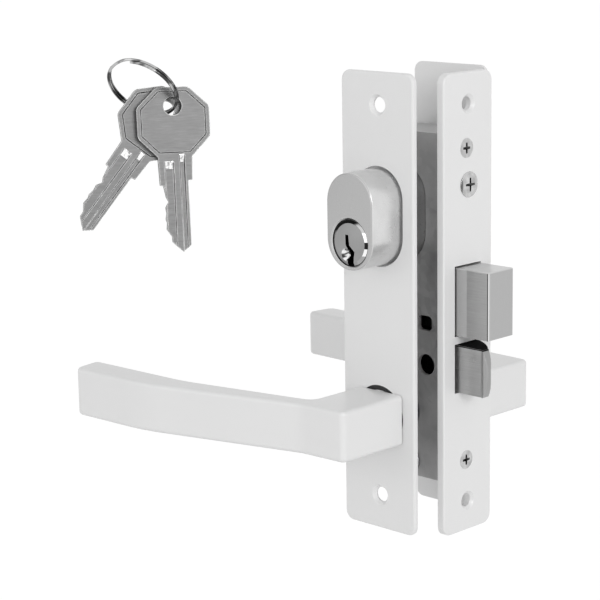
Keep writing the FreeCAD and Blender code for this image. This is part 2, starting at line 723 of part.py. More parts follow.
def lever_plan(z):
    """Corners of the near lever in plan, with the radius that each corner is rounded by."""
    root = PLATE_FACE + LEVER_GAP
    corners = [
        (-BLOCK_INNER, root, 0), (-BLOCK_INNER, BLOCK_FRONT, BLOCK_CORNER), GRIP_START + (SOFT_BEND,),
        GRIP_BEND + (WIDE_BEND,), GRIP_END + (TIP_FRONT_R,), TIP_BACK + (TIP_BACK_R,),
        INNER_FAR + (WIDE_BEND,), (BLOCK_OUTER, INNER_ROOT, INNER_ROOT_R),
        (BLOCK_OUTER, root, 0),
    ]
    return [(V(AXIS_X - along, -out, z), radius) for along, out, radius in corners]


def make_near_lever():
    z0 = LEVER_Z - LEVER_H / 2
    plan = lever_plan(z0)
    body = prism(polygon([corner for corner, _ in plan]), V(0, 0, LEVER_H))
    for corner, radius in plan:
        if radius:
            body = round_edges(body, radius, lambda e: stands_over(e, corner))
    root = -(PLATE_FACE + LEVER_GAP)
    body = round_edges(body, LEVER_EDGE, lambda e: e.BoundBox.ZLength < 1e-4 and e.BoundBox.YMin < root - PLAY)
    body = body.fuse(rod_y(NECK_R, -(PLATE_FACE + LEVER_GAP), -NECK_END, AXIS_X, LEVER_Z))
    half = SPINDLE / 2 + SPINDLE_GAP
    depth = SPINDLE_HALF + SLIDE_GAP
    body = body.cut(box(AXIS_X - half, AXIS_X + half, -depth, -NECK_END + 1, LEVER_Z - half, LEVER_Z + half))
    return one(body.cut(rod_z(GRUB_R, z0 - 1, LEVER_Z - half + 1, AXIS_X, -GRUB_AT)))


def mirrored(shape):
    """The same piece for the far side of the door."""
    return shape.mirror(V(0, 0, 0), V(0, 1, 0))


def make_grub_screws():
    top = LEVER_Z - SPINDLE / 2
    low = top - GRUB_LENGTH
    screw = rod_z(GRUB_R, low, top, AXIS_X, -GRUB_AT)
    corners = []
    for step in range(6):
        angle = math.radians(60 * step)
        x = AXIS_X + GRUB_SOCKET * math.cos(angle)
        corners.append(V(x, -GRUB_AT + GRUB_SOCKET * math.sin(angle), low - 1))
    screw = one(screw.cut(prism(polygon(corners), V(0, 0, 1 + GRUB_SOCKET_DEPTH))))
    return Part.makeCompound([screw, mirrored(screw)])


def make_near_bush():
    ring = rod_y(PLATE_BORE_R, -PLATE_FACE + BUSH_SUNK, -DOOR_HALF, AXIS_X, LEVER_Z)
    ring = ring.fuse(rod_y(BUSH_FLANGE_R, -DOOR_HALF - BUSH_FLANGE_T, -DOOR_HALF, AXIS_X, LEVER_Z))
    return one(ring.cut(rod_y(NECK_R + TURN_GAP, -PLATE_FACE - 1, 0, AXIS_X, LEVER_Z)))


# Escutcheons

def blank_escutcheon():
    x0 = PLATE_X - PLATE_W / 2
    z0 = PLATE_Z - PLATE_H / 2
    plate = box(x0, x0 + PLATE_W, -PLATE_FACE, -DOOR_HALF, z0, z0 + PLATE_H)
    plate = round_edges(plate, PLATE_CORNER, lambda e: runs_along(e, V(0, 1, 0)))
    plate = round_edges(plate, PLATE_EDGE, lambda e: lies_at(e, "y", -PLATE_FACE))
    for side in (-1, 1):
        z = PLATE_HOLE_Z + side * PLATE_HOLE_SPACING / 2
        plate = plate.cut(rod_y(PLATE_HOLE_R, -PLATE_FACE - 1, 0, AXIS_X, z))
        depth = PLATE_SINK_R - PLATE_HOLE_R
        sink = cone(PLATE_HOLE_R, PLATE_SINK_R, V(AXIS_X, -PLATE_FACE + depth, z), V(AXIS_X, -PLATE_FACE, z))
        plate = plate.cut(sink)
    plate = plate.cut(rod_y(BUSH_FLANGE_R, -DOOR_HALF - BUSH_FLANGE_T, 0, AXIS_X, LEVER_Z))
    return plate.cut(rod_y(PLATE_BORE_R, -PLATE_FACE - 1, 0, AXIS_X, LEVER_Z))


def make_near_escutcheon():
    plate = blank_escutcheon()
    half_w = OVAL_HALF_W + WINDOW_GAP
    half_h = OVAL_HALF_H + WINDOW_GAP
    return one(plate.cut(stadium(AXIS_X, CYLINDER_Z, half_w, half_h, -PLATE_FACE - 1, 0)))


def make_far_escutcheon():
    return one(mirrored(blank_escutcheon()))


# Cylinder

def pin_places():
    """Distances along Y of the pin chambers."""
    return [PIN_FIRST + PIN_PITCH * index for index in range(PIN_COUNT)]


def make_cylinder_body():
    body = stadium(AXIS_X, CYLINDER_Z, OVAL_HALF_W, OVAL_HALF_H, OVAL_FRONT, OVAL_BACK)
    body = round_edges(body, OVAL_EDGE, lambda e: lies_at(e, "y", OVAL_FRONT))
    gap0 = PLUG_END
    gap1 = CAM_TO + CAM_SIDE_GAP
    wide = OVAL_HALF_W + 1
    low = CYLINDER_Z - OVAL_HALF_H - 1
    body = body.cut(box(AXIS_X - wide, AXIS_X + wide, gap0, gap1, low, CAM_GAP_TOP))
    bore_r = PLUG_R + TURN_GAP
    body = body.cut(rod_y(bore_r, OVAL_FRONT - 1, gap0 + 1, AXIS_X, PLUG_Z))
    mouth = cone(bore_r, bore_r + MOUTH_RIM, V(AXIS_X, OVAL_FRONT + MOUTH_RIM, PLUG_Z), V(AXIS_X, OVAL_FRONT, PLUG_Z))
    body = body.cut(mouth)
    body = body.cut(rod_y(STUB_R, gap1 - 1, OVAL_BACK + 1, AXIS_X, PLUG_Z))
    for y in pin_places():
        body = body.cut(rod_z(PIN_R + TURN_GAP, PLUG_Z, CHAMBER_TOP, AXIS_X, y))
    edge_x = AXIS_X + OVAL_HALF_W + 1
    return one(body.cut(rod_x(FIXING_R + PLAY, -FIXING_LENGTH - END_GAP, edge_x, FIXING_Y, FIXING_Z)))


def make_cylinder_plug():
    shoulder = PLUG_FRONT + PLUG_BEVEL_H
    plug = rod_y(PLUG_R, shoulder, PLUG_END, AXIS_X, PLUG_Z)
    face = V(AXIS_X, PLUG_FRONT, PLUG_Z)
    plug = plug.fuse(cone(PLUG_R - PLUG_BEVEL_W, PLUG_R, face, V(AXIS_X, shoulder, PLUG_Z)))
    spigot = rod_y(SPIGOT_R, PLUG_END, CAM_TO - CAM_SIDE_GAP, AXIS_X, PLUG_Z)
    reach = SPIGOT_FLAT
    flats = box(AXIS_X - reach, AXIS_X + reach, PLUG_END, CAM_TO, PLUG_Z - CAM_R, PLUG_Z + CAM_R)
    plug = plug.fuse(spigot.common(flats))
    way = polygon([V(AXIS_X + x, OVAL_FRONT - 1, PLUG_Z + z) for x, z in KEYWAY])
    plug = plug.cut(prism(way, V(0, PLUG_END - OVAL_FRONT - 1, 0)))
    foot = V(AXIS_X - FLARE_ASIDE, OVAL_FRONT + FLARE_DEPTH, PLUG_Z - FLARE_BELOW)
    rim = V(AXIS_X - FLARE_ASIDE, OVAL_FRONT, PLUG_Z - FLARE_BELOW)
    flare = cone(FLARE_R0, FLARE_R1, foot, rim)
    plug = plug.cut(flare)
    for y in pin_places():
        plug = plug.cut(rod_z(PIN_R + TURN_GAP, min(PIN_TIPS) - END_GAP, PLUG_Z + PLUG_R + 1, AXIS_X, y))
    return one(plug.cut(rod_y(CAM_SCREW_R, CAM_TO - CAM_SCREW_LENGTH, CAM_TO, AXIS_X, PLUG_Z)))


def make_cylinder_cam():
    cam = rod_y(CAM_R, CAM_FROM, CAM_TO, AXIS_X, PLUG_Z)
    half = CAM_NECK_W / 2
    nose = box(AXIS_X - half, AXIS_X + half, CAM_FROM, CAM_TO, PLUG_Z - CAM_REACH, PLUG_Z)
    nose = nose.fuse(rod_y(CAM_PAD_R, CAM_FROM, CAM_TO, AXIS_X, PLUG_Z - CAM_REACH))
    nose.rotate(V(AXIS_X, 0, PLUG_Z), V(0, 1, 0), -CAM_TURN / 2)
    cam = cam.fuse(nose)
    reach = SPIGOT_FLAT + PLAY
    flats = box(AXIS_X - reach, AXIS_X + reach, CAM_FROM - 1, CAM_TO + 1, PLUG_Z - CAM_R, PLUG_Z + CAM_R)
    hole = rod_y(SPIGOT_R + PLAY, CAM_FROM - 1, CAM_TO + 1, AXIS_X, PLUG_Z).common(flats)
    return one(cam.cut(hole))


def make_cam_screw():
    shank = rod_y(CAM_SCREW_R, CAM_TO - CAM_SCREW_LENGTH + END_GAP, CAM_TO, AXIS_X, PLUG_Z)
    head = rod_y(CAM_SCREW_HEAD_R, CAM_TO, CAM_TO + CAM_SCREW_HEAD_H, AXIS_X, PLUG_Z)
    screw = shank.fuse(head)
    top = CAM_TO + CAM_SCREW_HEAD_H
    half = CROSS_REACH / 2
    slot = CROSS_W / 2
    bottom = top - CAM_CROSS_DEPTH
    cut_a = box(AXIS_X - half, AXIS_X + half, bottom, top + 1, PLUG_Z - slot, PLUG_Z + slot)
    cut_b = box(AXIS_X - slot, AXIS_X + slot, bottom, top + 1, PLUG_Z - half, PLUG_Z + half)
    return one(screw.cut(cut_a).cut(cut_b))


def make_key_pins():
    level = PLUG_Z + math.sqrt(PLUG_R ** 2 - PIN_R ** 2) - PLAY
    return Part.makeCompound([rod_z(PIN_R, tip, level, AXIS_X, y) for tip, y in zip(PIN_TIPS, pin_places())])


def driver_foot():
    """Level of the driver pins' lower ends, just clear of the plug."""
    return PLUG_Z + PLUG_R + TURN_GAP


def make_driver_pins():
    foot = driver_foot()
    return Part.makeCompound([rod_z(PIN_R, foot, foot + DRIVER_LENGTH, AXIS_X, y) for y in pin_places()])


def make_pin_springs():
    wire_r = PIN_WIRE / 2
    low = driver_foot() + DRIVER_LENGTH + wire_r + PLAY
    high = CHAMBER_TOP - wire_r - PLAY
    springs = []
    for y in pin_places():
        spring = coil(PIN_COIL_R, wire_r, (high - low) / PIN_COILS, 2 * PIN_COILS)
        spring.translate(V(AXIS_X, y, low))
        springs.append(spring)
    return Part.makeCompound(springs)


# Keys and ring

def sight_frame():
    """Placement whose X is right, Y up and Z towards the viewer on the line of sight."""
    yaw = FreeCAD.Rotation(V(0, 0, 1), SIGHT_YAW)
    tilt = FreeCAD.Rotation(V(1, 0, 0), -SIGHT_TILT)
    level = FreeCAD.Rotation(V(1, 0, 0), 90)
    roll = FreeCAD.Rotation(V(0, 0, 1), SIGHT_ROLL)
    return FreeCAD.Placement(V(*KEY_FRONT_AT), yaw.multiply(tilt).multiply(level).multiply(roll))


def keys_frame():
    """Placement of the keys' common plane, leant so that the ring's wire runs through their holes."""
    slant = math.radians(KEYS_LEAN_WAY)
    lean = FreeCAD.Rotation(V(math.sin(slant), math.cos(slant), 0), KEYS_LEAN)
    return sight_frame().multiply(FreeCAD.Placement(V(0, 0, 0), lean))


def key_blank():
    """One key in its own frame, hole at the origin and blade downwards."""
    points = [V(x, y, -KEY_T / 2) for x, y in KEY_BOW]
    key = prism(polygon(points), V(0, 0, KEY_T))
    bow_edges = []
    for edge in key.Edges:
        if runs_along(edge, V(0, 0, 1)) and edge.BoundBox.YMin > KEY_BOW_FOOT:
            bow_edges.append(edge)
    key = key.makeFillet(KEY_CORNER, bow_edges)
    key = key.cut(rod_z(KEY_HOLE_R, -KEY_T, KEY_T, 0, 0))
    end = key.BoundBox.YMin - 1
    floor = KEY_T / 2 - KEY_GROOVE_DEPTH
    for x0, x1, top in KEY_GROOVES:
        key = key.cut(box(x0, x1, end, top, floor, KEY_T))
    x0, x1, top = KEY_BACK_GROOVE
    key = key.cut(box(x0, x1, end, top, -KEY_T, -floor))
    panel = Part.Face(polygon([V(x, y, 0) for x, y in KEY_PANEL])).makeOffset2D(-KEY_RIM)
    panel = round_edges(panel.extrude(V(0, 0, KEY_T)), KEY_CORNER - KEY_RIM, lambda e: runs_along(e, V(0, 0, 1)))
    for level in (KEY_T / 2 - KEY_PANEL_DEPTH, -KEY_T * 3 / 2 + KEY_PANEL_DEPTH):
        sunk = panel.copy()
        sunk.translate(V(0, 0, level))
        key = key.cut(sunk)
    return one(key)


def make_key_front():
    key = key_blank()
    turn = FreeCAD.Placement(V(0, 0, 0), FreeCAD.Rotation(V(0, 0, 1), KEY_FRONT_TURN))
    key.Placement = keys_frame().multiply(turn)
    return key


def make_key_rear():
    key = key_blank()
    aside = V(KEY_REAR_ASIDE[0], KEY_REAR_ASIDE[1], -KEY_REAR_BEHIND)
    turn = FreeCAD.Placement(aside, FreeCAD.Rotation(V(0, 0, 1), KEY_REAR_TURN))
    key.Placement = keys_frame().multiply(turn)
    return key


def make_key_ring():
    ring = coil(RING_R, RING_WIRE / 2, RING_PITCH, 4)
    ring.translate(V(0, 0, -RING_PITCH))
    start = FreeCAD.Rotation(V(0, 0, 1), RING_START)
    tilt = FreeCAD.Rotation(V(1, 0, 0), RING_TILT)
    turn = FreeCAD.Rotation(V(0, 0, 1), RING_TURN)
    lie = FreeCAD.Placement(V(*RING_FROM_KEY), turn.multiply(tilt).multiply(start))
    place = sight_frame().multiply(lie)
    ring.Placement = place.multiply(ring.Placement)
    return ring


near_lever = make_near_lever()
near_bush = make_near_bush()
to_frame = V(FACE_T, -LOCK_Y, 0)

PIECES = {
    "faceplate": make_faceplate(),
    "case_body": make_case_body(),
    "case_cover": make_case_cover(),
    "case_rivets": make_case_rivets(),
    "faceplate_screws": make_faceplate_screws(),
    "cylinder_screw": make_cylinder_screw(),
    "deadbolt": make_deadbolt(),
    "bolt_guide_pin": make_bolt_guide_pin(),
    "bolt_divider": make_bolt_divider(),
    "friction_strip": make_friction_strip(),
    "latch_bolt": make_latch_bolt(),
    "latch_tail": make_latch_tail(),
    "latch_pins": make_latch_pins(),
    "follower_hub": make_hub(),
    "spindle": make_spindle(),
    "spring_plunger": make_spring_plunger(),
    "spring_guide": make_spring_guide(),
    "return_spring": make_return_spring(),
    "near_lever": near_lever,
    "far_lever": mirrored(near_lever),
    "grub_screws": make_grub_screws(),
    "near_bush": near_bush,
    "far_bush": mirrored(near_bush),
    "near_escutcheon": make_near_escutcheon(),
    "far_escutcheon": make_far_escutcheon(),
    "cylinder_body": make_cylinder_body(),
    "cylinder_plug": make_cylinder_plug(),
    "cylinder_cam": make_cylinder_cam(),
    "cam_screw": make_cam_screw(),
    "key_pins": make_key_pins(),
    "driver_pins": make_driver_pins(),
    "pin_springs": make_pin_springs(),
    "key_front": make_key_front(),
    "key_rear": make_key_rear(),
    "key_ring": make_key_ring(),
}

for name, shape in PIECES.items():
    shape.translate(to_frame)
    bounds = shape.BoundBox
    print("%-18s solids %d valid %s volume %.1f x %.2f..%.2f y %.2f..%.2f z %.2f..%.2f" % (
        name, len(shape.Solids), shape.isValid(), shape.Volume, bounds.XMin, bounds.XMax,
        bounds.YMin, bounds.YMax, bounds.ZMin, bounds.ZMax))
    shape.exportStep("parts/" + name + ".step")
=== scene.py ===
"""Looks of a narrow-stile mortise lock set, built around its packed construction model.

Each sub-assembly of the lock is a class that makes its own meshes and dresses them. The finishes
are procedural materials. Everything is in metres: +X is the way the bolts are thrown, +Z is up,
and the keyed side of the door faces -Y.
"""

import logging
import math
from dataclasses import dataclass, field
from enum import Enum
from functools import cache
from typing import Callable, Iterable, Sequence

import bmesh
import bpy
from mathutils import Matrix, Vector


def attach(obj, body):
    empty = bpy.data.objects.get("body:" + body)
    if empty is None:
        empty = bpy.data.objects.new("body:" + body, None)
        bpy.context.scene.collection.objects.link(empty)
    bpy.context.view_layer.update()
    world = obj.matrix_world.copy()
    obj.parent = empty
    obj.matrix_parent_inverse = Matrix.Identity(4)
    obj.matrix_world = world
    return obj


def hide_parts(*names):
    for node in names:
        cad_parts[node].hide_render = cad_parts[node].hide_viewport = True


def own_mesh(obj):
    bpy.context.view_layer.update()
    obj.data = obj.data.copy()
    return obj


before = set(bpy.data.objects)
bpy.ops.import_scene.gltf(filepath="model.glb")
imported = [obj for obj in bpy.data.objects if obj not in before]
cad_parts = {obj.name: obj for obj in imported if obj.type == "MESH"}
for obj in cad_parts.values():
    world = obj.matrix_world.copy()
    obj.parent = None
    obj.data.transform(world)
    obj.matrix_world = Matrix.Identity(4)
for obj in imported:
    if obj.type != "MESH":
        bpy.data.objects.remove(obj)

log = logging.getLogger("lock_set")

MM = 0.001
Pair = tuple[float, float]
Triple = tuple[float, float, float]
Rgb = Triple
Node = bpy.types.Node
Socket = bpy.types.NodeSocket
Piece = bpy.types.Object
Link = tuple[Node, str | int, Node, str | int]
Feed = float | tuple[float, ...] | Socket

RIGHT, LEFT = (1.0, 0.0, 0.0), (-1.0, 0.0, 0.0)
UP, OUT, INWARD = (0.0, 0.0, 1.0), (0.0, -1.0, 0.0), (0.0, 1.0, 0.0)
FACE_LEVEL = 0.0315
NOISE_LOW, NOISE_HIGH = 0.3, 0.7
FINE_RELIEF = 0.00002

# The photograph's line of sight, in degrees.
SIGHT_YAW, SIGHT_TILT, SIGHT_ROLL = 44.689, 11.994, -0.926


def grey(level: float) -> Rgb:
    """Neutral colour of one level."""
    return (level, level, level)


def hang(name: str, data: bpy.types.ID) -> Piece:
    """Make an object of some data and link it to the scene.

    Args:
        name: Name of the object.
        data: Its mesh, curve, camera or lamp.

    Returns:
        The object.
    """
    thing = bpy.data.objects.new(name, data)
    bpy.context.scene.collection.objects.link(thing)
    return thing


def sight(place: Triple) -> Matrix:
    """Look along the line of sight.

    Args:
        place: A point on it.

    Returns:
        Placement there whose X is right, Y up and Z towards the viewer.
    """
    turn = Matrix.Rotation(math.radians(SIGHT_YAW), 4, "Z")
    for angle, axis in ((-SIGHT_TILT, "X"), (90.0, "X"), (SIGHT_ROLL, "Z")):
        turn = turn @ Matrix.Rotation(math.radians(angle), 4, axis)
    return Matrix.Translation(place) @ turn


class SocketKind(Enum):
    """Kinds of sockets on a shader node group."""

    VALUE = "NodeSocketFloat"
    VECTOR = "NodeSocketVector"


class Direction(Enum):
    """Ways in which a brushed surface's lines run."""

    ALONG_X = (4.0, 160.0, 160.0)
    ALONG_Y = (160.0, 4.0, 160.0)
    LEVEL = (18.0, 18.0, 160.0)


class Operation(Enum):
    """What one body does to another."""

    CUT = "DIFFERENCE"
    JOIN = "UNION"


class Wiring:
    """Places and joins the nodes of one shader tree."""

    def __init__(self, tree: bpy.types.ShaderNodeTree) -> None:
        """Work in the given tree."""
        self.tree = tree

    def fill(self, node: Node, **values: Feed) -> Node:
        """Give a node its inputs: constants are set and sockets are joined.

        Args:
            node: The node.
            values: What each input gets, by its label with underscores for spaces.

        Returns:
            The same node.
        """
        for label, value in values.items():
            entry = node.inputs[label.replace("_", " ").title()]
            if isinstance(value, Socket):
                self.tree.links.new(value, entry)
            else:
                entry.default_value = value
        return node

    def node(self, kind: str, operation: str = "", by: float | None = None,
             **values: Feed) -> Node:
        """Place a node and give it its inputs.

        Args:
            kind: Type of the node.
            operation: What a math node does.
            by: Value of a math node's second input.
            values: What named inputs get.

        Returns:
            The node.
        """
        node = self.tree.nodes.new(kind)
        if operation:
            node.operation = operation
        if by is not None:
            node.inputs[1].default_value = by
        return self.fill(node, **values)

    def join(self, *links: Link) -> None:
        """Join nodes.

        Args:
            links: Node and output that each link leaves, then node and input that it enters.
        """
        for source, out, sink, into in links:
            self.tree.links.new(source.outputs[out], sink.inputs[into])


# ---- shader node groups shared by the finishes


class Group(Wiring):
    """A new node group with its named sockets."""

    def __init__(self, name: str, inputs: dict[str, float | None], outputs: Sequence[str]) -> None:
        """Make the group.

        Args:
            name: Name of the group.
            inputs: Default of each input, or None where the input is a vector.
            outputs: Name of each output.
        """
        super().__init__(bpy.data.node_groups.new(name, "ShaderNodeTree"))
        face = self.tree.interface
        for label, default in inputs.items():
            kind = SocketKind.VECTOR if default is None else SocketKind.VALUE
            socket = face.new_socket(name=label, in_out="INPUT", socket_type=kind.value)
            if default is not None:
                socket.default_value = default
        for label in outputs:
            face.new_socket(name=label, in_out="OUTPUT", socket_type=SocketKind.VALUE.value)
        self.place = self.node("ShaderNodeTexCoord").outputs["Object"]
        self.source = self.tree.nodes.new("NodeGroupInput")
        self.sink = self.tree.nodes.new("NodeGroupOutput")


@cache
def grain_group() -> Group:
    """Fine unevenness of a sprayed or cast skin: a height and a slow drift of tone.

    Returns:
        The group.
    """
    grain = Group("surface_grain", {"Fine Scale": 1800.0, "Slow Scale": 35.0},
                  ("Height", "Drift"))
    for detail, scale, result in ((3.0, "Fine Scale", "Height"), (2.0, "Slow Scale", "Drift")):
        noise = grain.node("ShaderNodeTexNoise", detail=detail, vector=grain.place)
        grain.join((grain.source, scale, noise, "Scale"), (noise, "Fac", grain.sink, result))
    return grain


@cache
def brushing_group() -> Group:
    """Lines of a brushed metal, from noise that is stretched along them.

    Returns:
        The group.
    """
    lines = Group("brushed_lines", {"Stretch": None, "Size": 30.0}, ("Lines",))
    stretch = lines.node("ShaderNodeVectorMath", "MULTIPLY", vector=lines.place)
    noise = lines.node("ShaderNodeTexNoise", detail=5.0, roughness=0.7)
    lines.join((lines.source, "Stretch", stretch, 1), (stretch, "Vector", noise, "Vector"),
               (lines.source, "Size", noise, "Scale"), (noise, "Fac", lines.sink, "Lines"))
    return lines


@cache
def edge_wear_and_sheen_group() -> Group:
    """Mask of the outer edges, broken up by noise, where a lighter tone stands for wear and painted
    sheen.

    Returns:
        The group.
    """
    edges = Group("edge_wear_and_sheen", {"Radius": 0.0006, "Broken": 400.0}, ("Mask",))
    soft = edges.node("ShaderNodeBevel")
    soft.samples = 4
    flat = edges.node("ShaderNodeNewGeometry")
    compare = edges.node("ShaderNodeVectorMath", "DOT_PRODUCT")
    ramp = edges.node("ShaderNodeMapRange", from_min=0.995, from_max=0.90)
    noise = edges.node("ShaderNodeTexNoise", vector=edges.place)
    mixed = edges.node("ShaderNodeMath", "MULTIPLY")
    edges.join((edges.source, "Radius", soft, "Radius"), (soft, "Normal", compare, 0),
               (flat, "Normal", compare, 1), (compare, "Value", ramp, "Value"),
               (edges.source, "Broken", noise, "Scale"), (ramp, "Result", mixed, 0),
               (noise, "Fac", mixed, 1), (mixed, "Value", edges.sink, "Mask"))
    return edges


@cache
def spangle_group() -> Group:
    """Crystal patches of galvanised sheet, as a tone that differs from patch to patch.

    Returns:
        The group.
    """
    spangle = Group("zinc_spangle", {"Patch Scale": 260.0}, ("Tone", "Height"))
    cells = spangle.node("ShaderNodeTexVoronoi", vector=spangle.place)
    noise = spangle.node("ShaderNodeTexNoise", scale=90.0, detail=4.0, vector=spangle.place)
    level = spangle.node("ShaderNodeRGBToBW")
    faint = spangle.node("ShaderNodeMath", "MULTIPLY", 0.22)
    mixed = spangle.node("ShaderNodeMath", "MULTIPLY_ADD", 0.8)
    spangle.join((spangle.source, "Patch Scale", cells, "Scale"),
                 (cells, "Color", level, "Color"), (level, "Val", faint, 0),
                 (noise, "Fac", mixed, 0), (faint, "Value", mixed, 2),
                 (mixed, "Value", spangle.sink, "Tone"),
                 (cells, "Distance", spangle.sink, "Height"))
    return spangle


@cache
def level_group() -> Group:
    """Mask that rises from 0 to 1 as the surface passes a level along one direction.

    Returns:
        The group.
    """
    level = Group("level_mask", {"Way": None, "Level": 0.0, "Softness": 0.0001}, ("Mask",))
    along = level.node("ShaderNodeVectorMath", "DOT_PRODUCT", vector=level.place)
    past = level.node("ShaderNodeMath", "SUBTRACT")
    share = level.node("ShaderNodeMath", "DIVIDE")
    share.use_clamp = True
    level.join((level.source, "Way", along, 1), (along, "Value", past, 0),
               (level.source, "Level", past, 1),
               (past, "Value", share, 0), (level.source, "Softness", share, 1),
               (share, "Value", level.sink, "Mask"))
    return level


@cache
def glints_group() -> Group:
    """Sharp light and dark patches of painted reflection, as a polished surface would mirror what
    is round it.

    Returns:
        The group.
    """
    glints = Group("polished_glints", {"Patch Scale": 300.0, "Balance": 0.5, "Edge": 0.05},
                   ("Mask",))
    noise = glints.node("ShaderNodeTexNoise", detail=1.0, distortion=0.6, vector=glints.place)
    ramp = glints.node("ShaderNodeMapRange")
    ramp.interpolation_type = "SMOOTHSTEP"
    glints.join((noise, "Fac", ramp, "Value"), (glints.source, "Patch Scale", noise, "Scale"))
    for operation, limit in (("SUBTRACT", "From Min"), ("ADD", "From Max")):
        shift = glints.node("ShaderNodeMath", operation)
        glints.join((glints.source, "Balance", shift, 0), (glints.source, "Edge", shift, 1),
                    (shift, "Value", ramp, limit))
    glints.join((ramp, "Result", glints.sink, "Mask"))
    return glints


@dataclass(frozen=True)
class Zone:
    """Part of a surface past one level, with a tone laid over it; here zones paint shade,
    highlights and reflections.
    """

    way: Triple
    level: float
    tone: Rgb
    softness: float = 0.0001
    dull: bool = False


class Dresser(Wiring):
    """Builds one material's node tree step by step."""

    def __init__(self, name: str) -> None:
        """Start a material with a Principled BSDF and its output.

        Args:
            name: Name of the material.
        """
        self.material = bpy.data.materials.new(name)
        self.material.use_nodes = True
        super().__init__(self.material.node_tree)
        self.shader = self.tree.nodes["Principled BSDF"]

    def group(self, shared: Callable[[], Group], **values: Feed) -> Node:
        """Place a shared group in this material.

        Args:
            shared: Function that gives the group.
            values: Values for its inputs, with underscores for spaces.

        Returns:
            The group's node.
        """
        node = self.node("ShaderNodeGroup")
        node.node_tree = shared().tree
        return self.fill(node, **values)

    def blend(self, mask: Socket, low: Rgb | Socket, high: Rgb) -> Socket:
        """Mix two colours by a mask.

        Args:
            mask: Socket that runs from 0 to 1.
            low: Colour where the mask is 0, or the socket of a varying one.
            high: Colour where the mask is 1.

        Returns:
            The mixed colour's socket.
        """
        node = self.node("ShaderNodeMix")
        node.data_type = "RGBA"
        under = (*low, 1.0) if isinstance(low, tuple) else low
        return self.fill(node, a=under, b=(*high, 1.0), factor=mask).outputs["Result"]

    def span(self, value: Socket, low: float, high: float) -> Socket:
        """Map the usual range of a noise onto another.

        Args:
            value: Socket of the noise.
            low: Result at the noise's low end.
            high: Result at its high end.

        Returns:
            The mapped value's socket.
        """
        return self.node("ShaderNodeMapRange", value=value, from_min=NOISE_LOW,
                         from_max=NOISE_HIGH, to_min=low, to_max=high).outputs["Result"]

    def lay_edge_wear_and_sheen(self, tone: Socket, edge: Rgb, radius: float, broken: float) -> Socket:
        """Lay a lighter tone over the outer edges, for wear and painted sheen.

        Args:
            tone: Colour of the surface.
            edge: Colour of the edges, lighter for wear and painted sheen.
            radius: How far the wear and sheen reach, in metres.
            broken: Scale of the noise that breaks it up.

        Returns:
            The mixed colour's socket.
        """
        edges = self.group(edge_wear_and_sheen_group, radius=radius, broken=broken)
        return self.blend(edges.outputs["Mask"], tone, edge)

    def lay(self, tone: Socket, rough: Socket, zones: Sequence[Zone]) -> tuple[Socket, Socket]:
        """Lay the tones of some zones over a surface, and make the dull ones rough.

        Args:
            tone: Colour of the surface.
            rough: Its roughness.
            zones: The zones, the later ones over the earlier.

        Returns:
            The sockets of the colour and of the roughness.
        """
        for zone in zones:
            mask = self.group(level_group, way=zone.way, level=zone.level,
                              softness=zone.softness).outputs["Mask"]
            tone = self.blend(mask, tone, zone.tone)
            if zone.dull:
                node = self.node("ShaderNodeMath", "MAXIMUM")
                self.tree.links.new(mask, node.inputs[0])
                self.tree.links.new(rough, node.inputs[1])
                rough = node.outputs["Value"]
        return tone, rough

    def close(self, tone: Socket, rough: Socket, height: Socket, strength: float,
              relief: float = FINE_RELIEF, metallic: float = 1.0) -> bpy.types.Material:
        """Feed the shader.

        Args:
            tone: Colour of the surface.
            rough: Its roughness.
            height: Height that drives its normal.
            strength: How strongly the height acts.
            relief: Depth of the relief in metres.
            metallic: How metallic the surface is.

        Returns:
            The finished material.
        """
        bump = self.node("ShaderNodeBump", strength=strength, distance=relief, height=height)
        self.fill(self.shader, base_color=tone, roughness=rough, metallic=metallic,
                  normal=bump.outputs["Normal"])
        return self.material


@dataclass(frozen=True)
class PowderCoat:
    """Smooth white coat baked onto the plates and levers."""

    name: str = "white_powder_coat"
    low: Rgb = grey(0.775)
    high: Rgb = grey(0.81)
    # Lighter colour along the rounded edges: a painted highlight.
    edge: Rgb = grey(0.86)
    roughness: Pair = (0.30, 0.38)
    coat: float = 0.15

    def make(self) -> bpy.types.Material:
        """Build the material.

        Returns:
            The material.
        """
        paint = Dresser(self.name)
        grain = paint.group(grain_group, fine_scale=1500.0, slow_scale=28.0)
        drift = grain.outputs["Drift"]
        # The edge colour paints a highlight along the rounded edges.
        tone = paint.lay_edge_wear_and_sheen(paint.blend(drift, self.low, self.high), self.edge, 0.0007, 300.0)
        paint.fill(paint.shader, coat_weight=self.coat, coat_roughness=0.15)
        return paint.close(tone, paint.span(drift, *self.roughness), grain.outputs["Height"],
                           0.12, 0.00003, 0.0)


@dataclass(frozen=True)
class BrushedMetal:
    """Plated or bare metal with fine lines along one direction and lighter edges."""

    name: str
    low: Rgb
    high: Rgb
    edge: Rgb
    lines: Direction
    roughness: Pair = (0.26, 0.40)
    depth: float = 0.25
    line_size: float = 22.0
    smudge: float = 0.35
    # Reach of the lighter edges, which stand for wear and painted sheen.
    wear_and_sheen_reach: float = 0.0004
    zones: tuple[Zone, ...] = ()

    def make(self) -> bpy.types.Material:
        """Build the material.

        Returns:
            The material.
        """
        metal = Dresser(self.name)
        lines = metal.group(brushing_group, stretch=self.lines.value,
                            size=self.line_size).outputs["Lines"]
        blots = metal.group(grain_group, fine_scale=900.0, slow_scale=240.0).outputs["Drift"]
        tone = metal.blend(metal.span(lines, 0.0, 1.0), self.low, self.high)
        tone = metal.blend(metal.span(blots, 0.0, self.smudge), tone, self.low)
        tone, rough = metal.lay(tone, metal.span(lines, *self.roughness), self.zones)
        return metal.close(metal.lay_edge_wear_and_sheen(tone, self.edge, self.wear_and_sheen_reach, 500.0), rough, lines, self.depth)


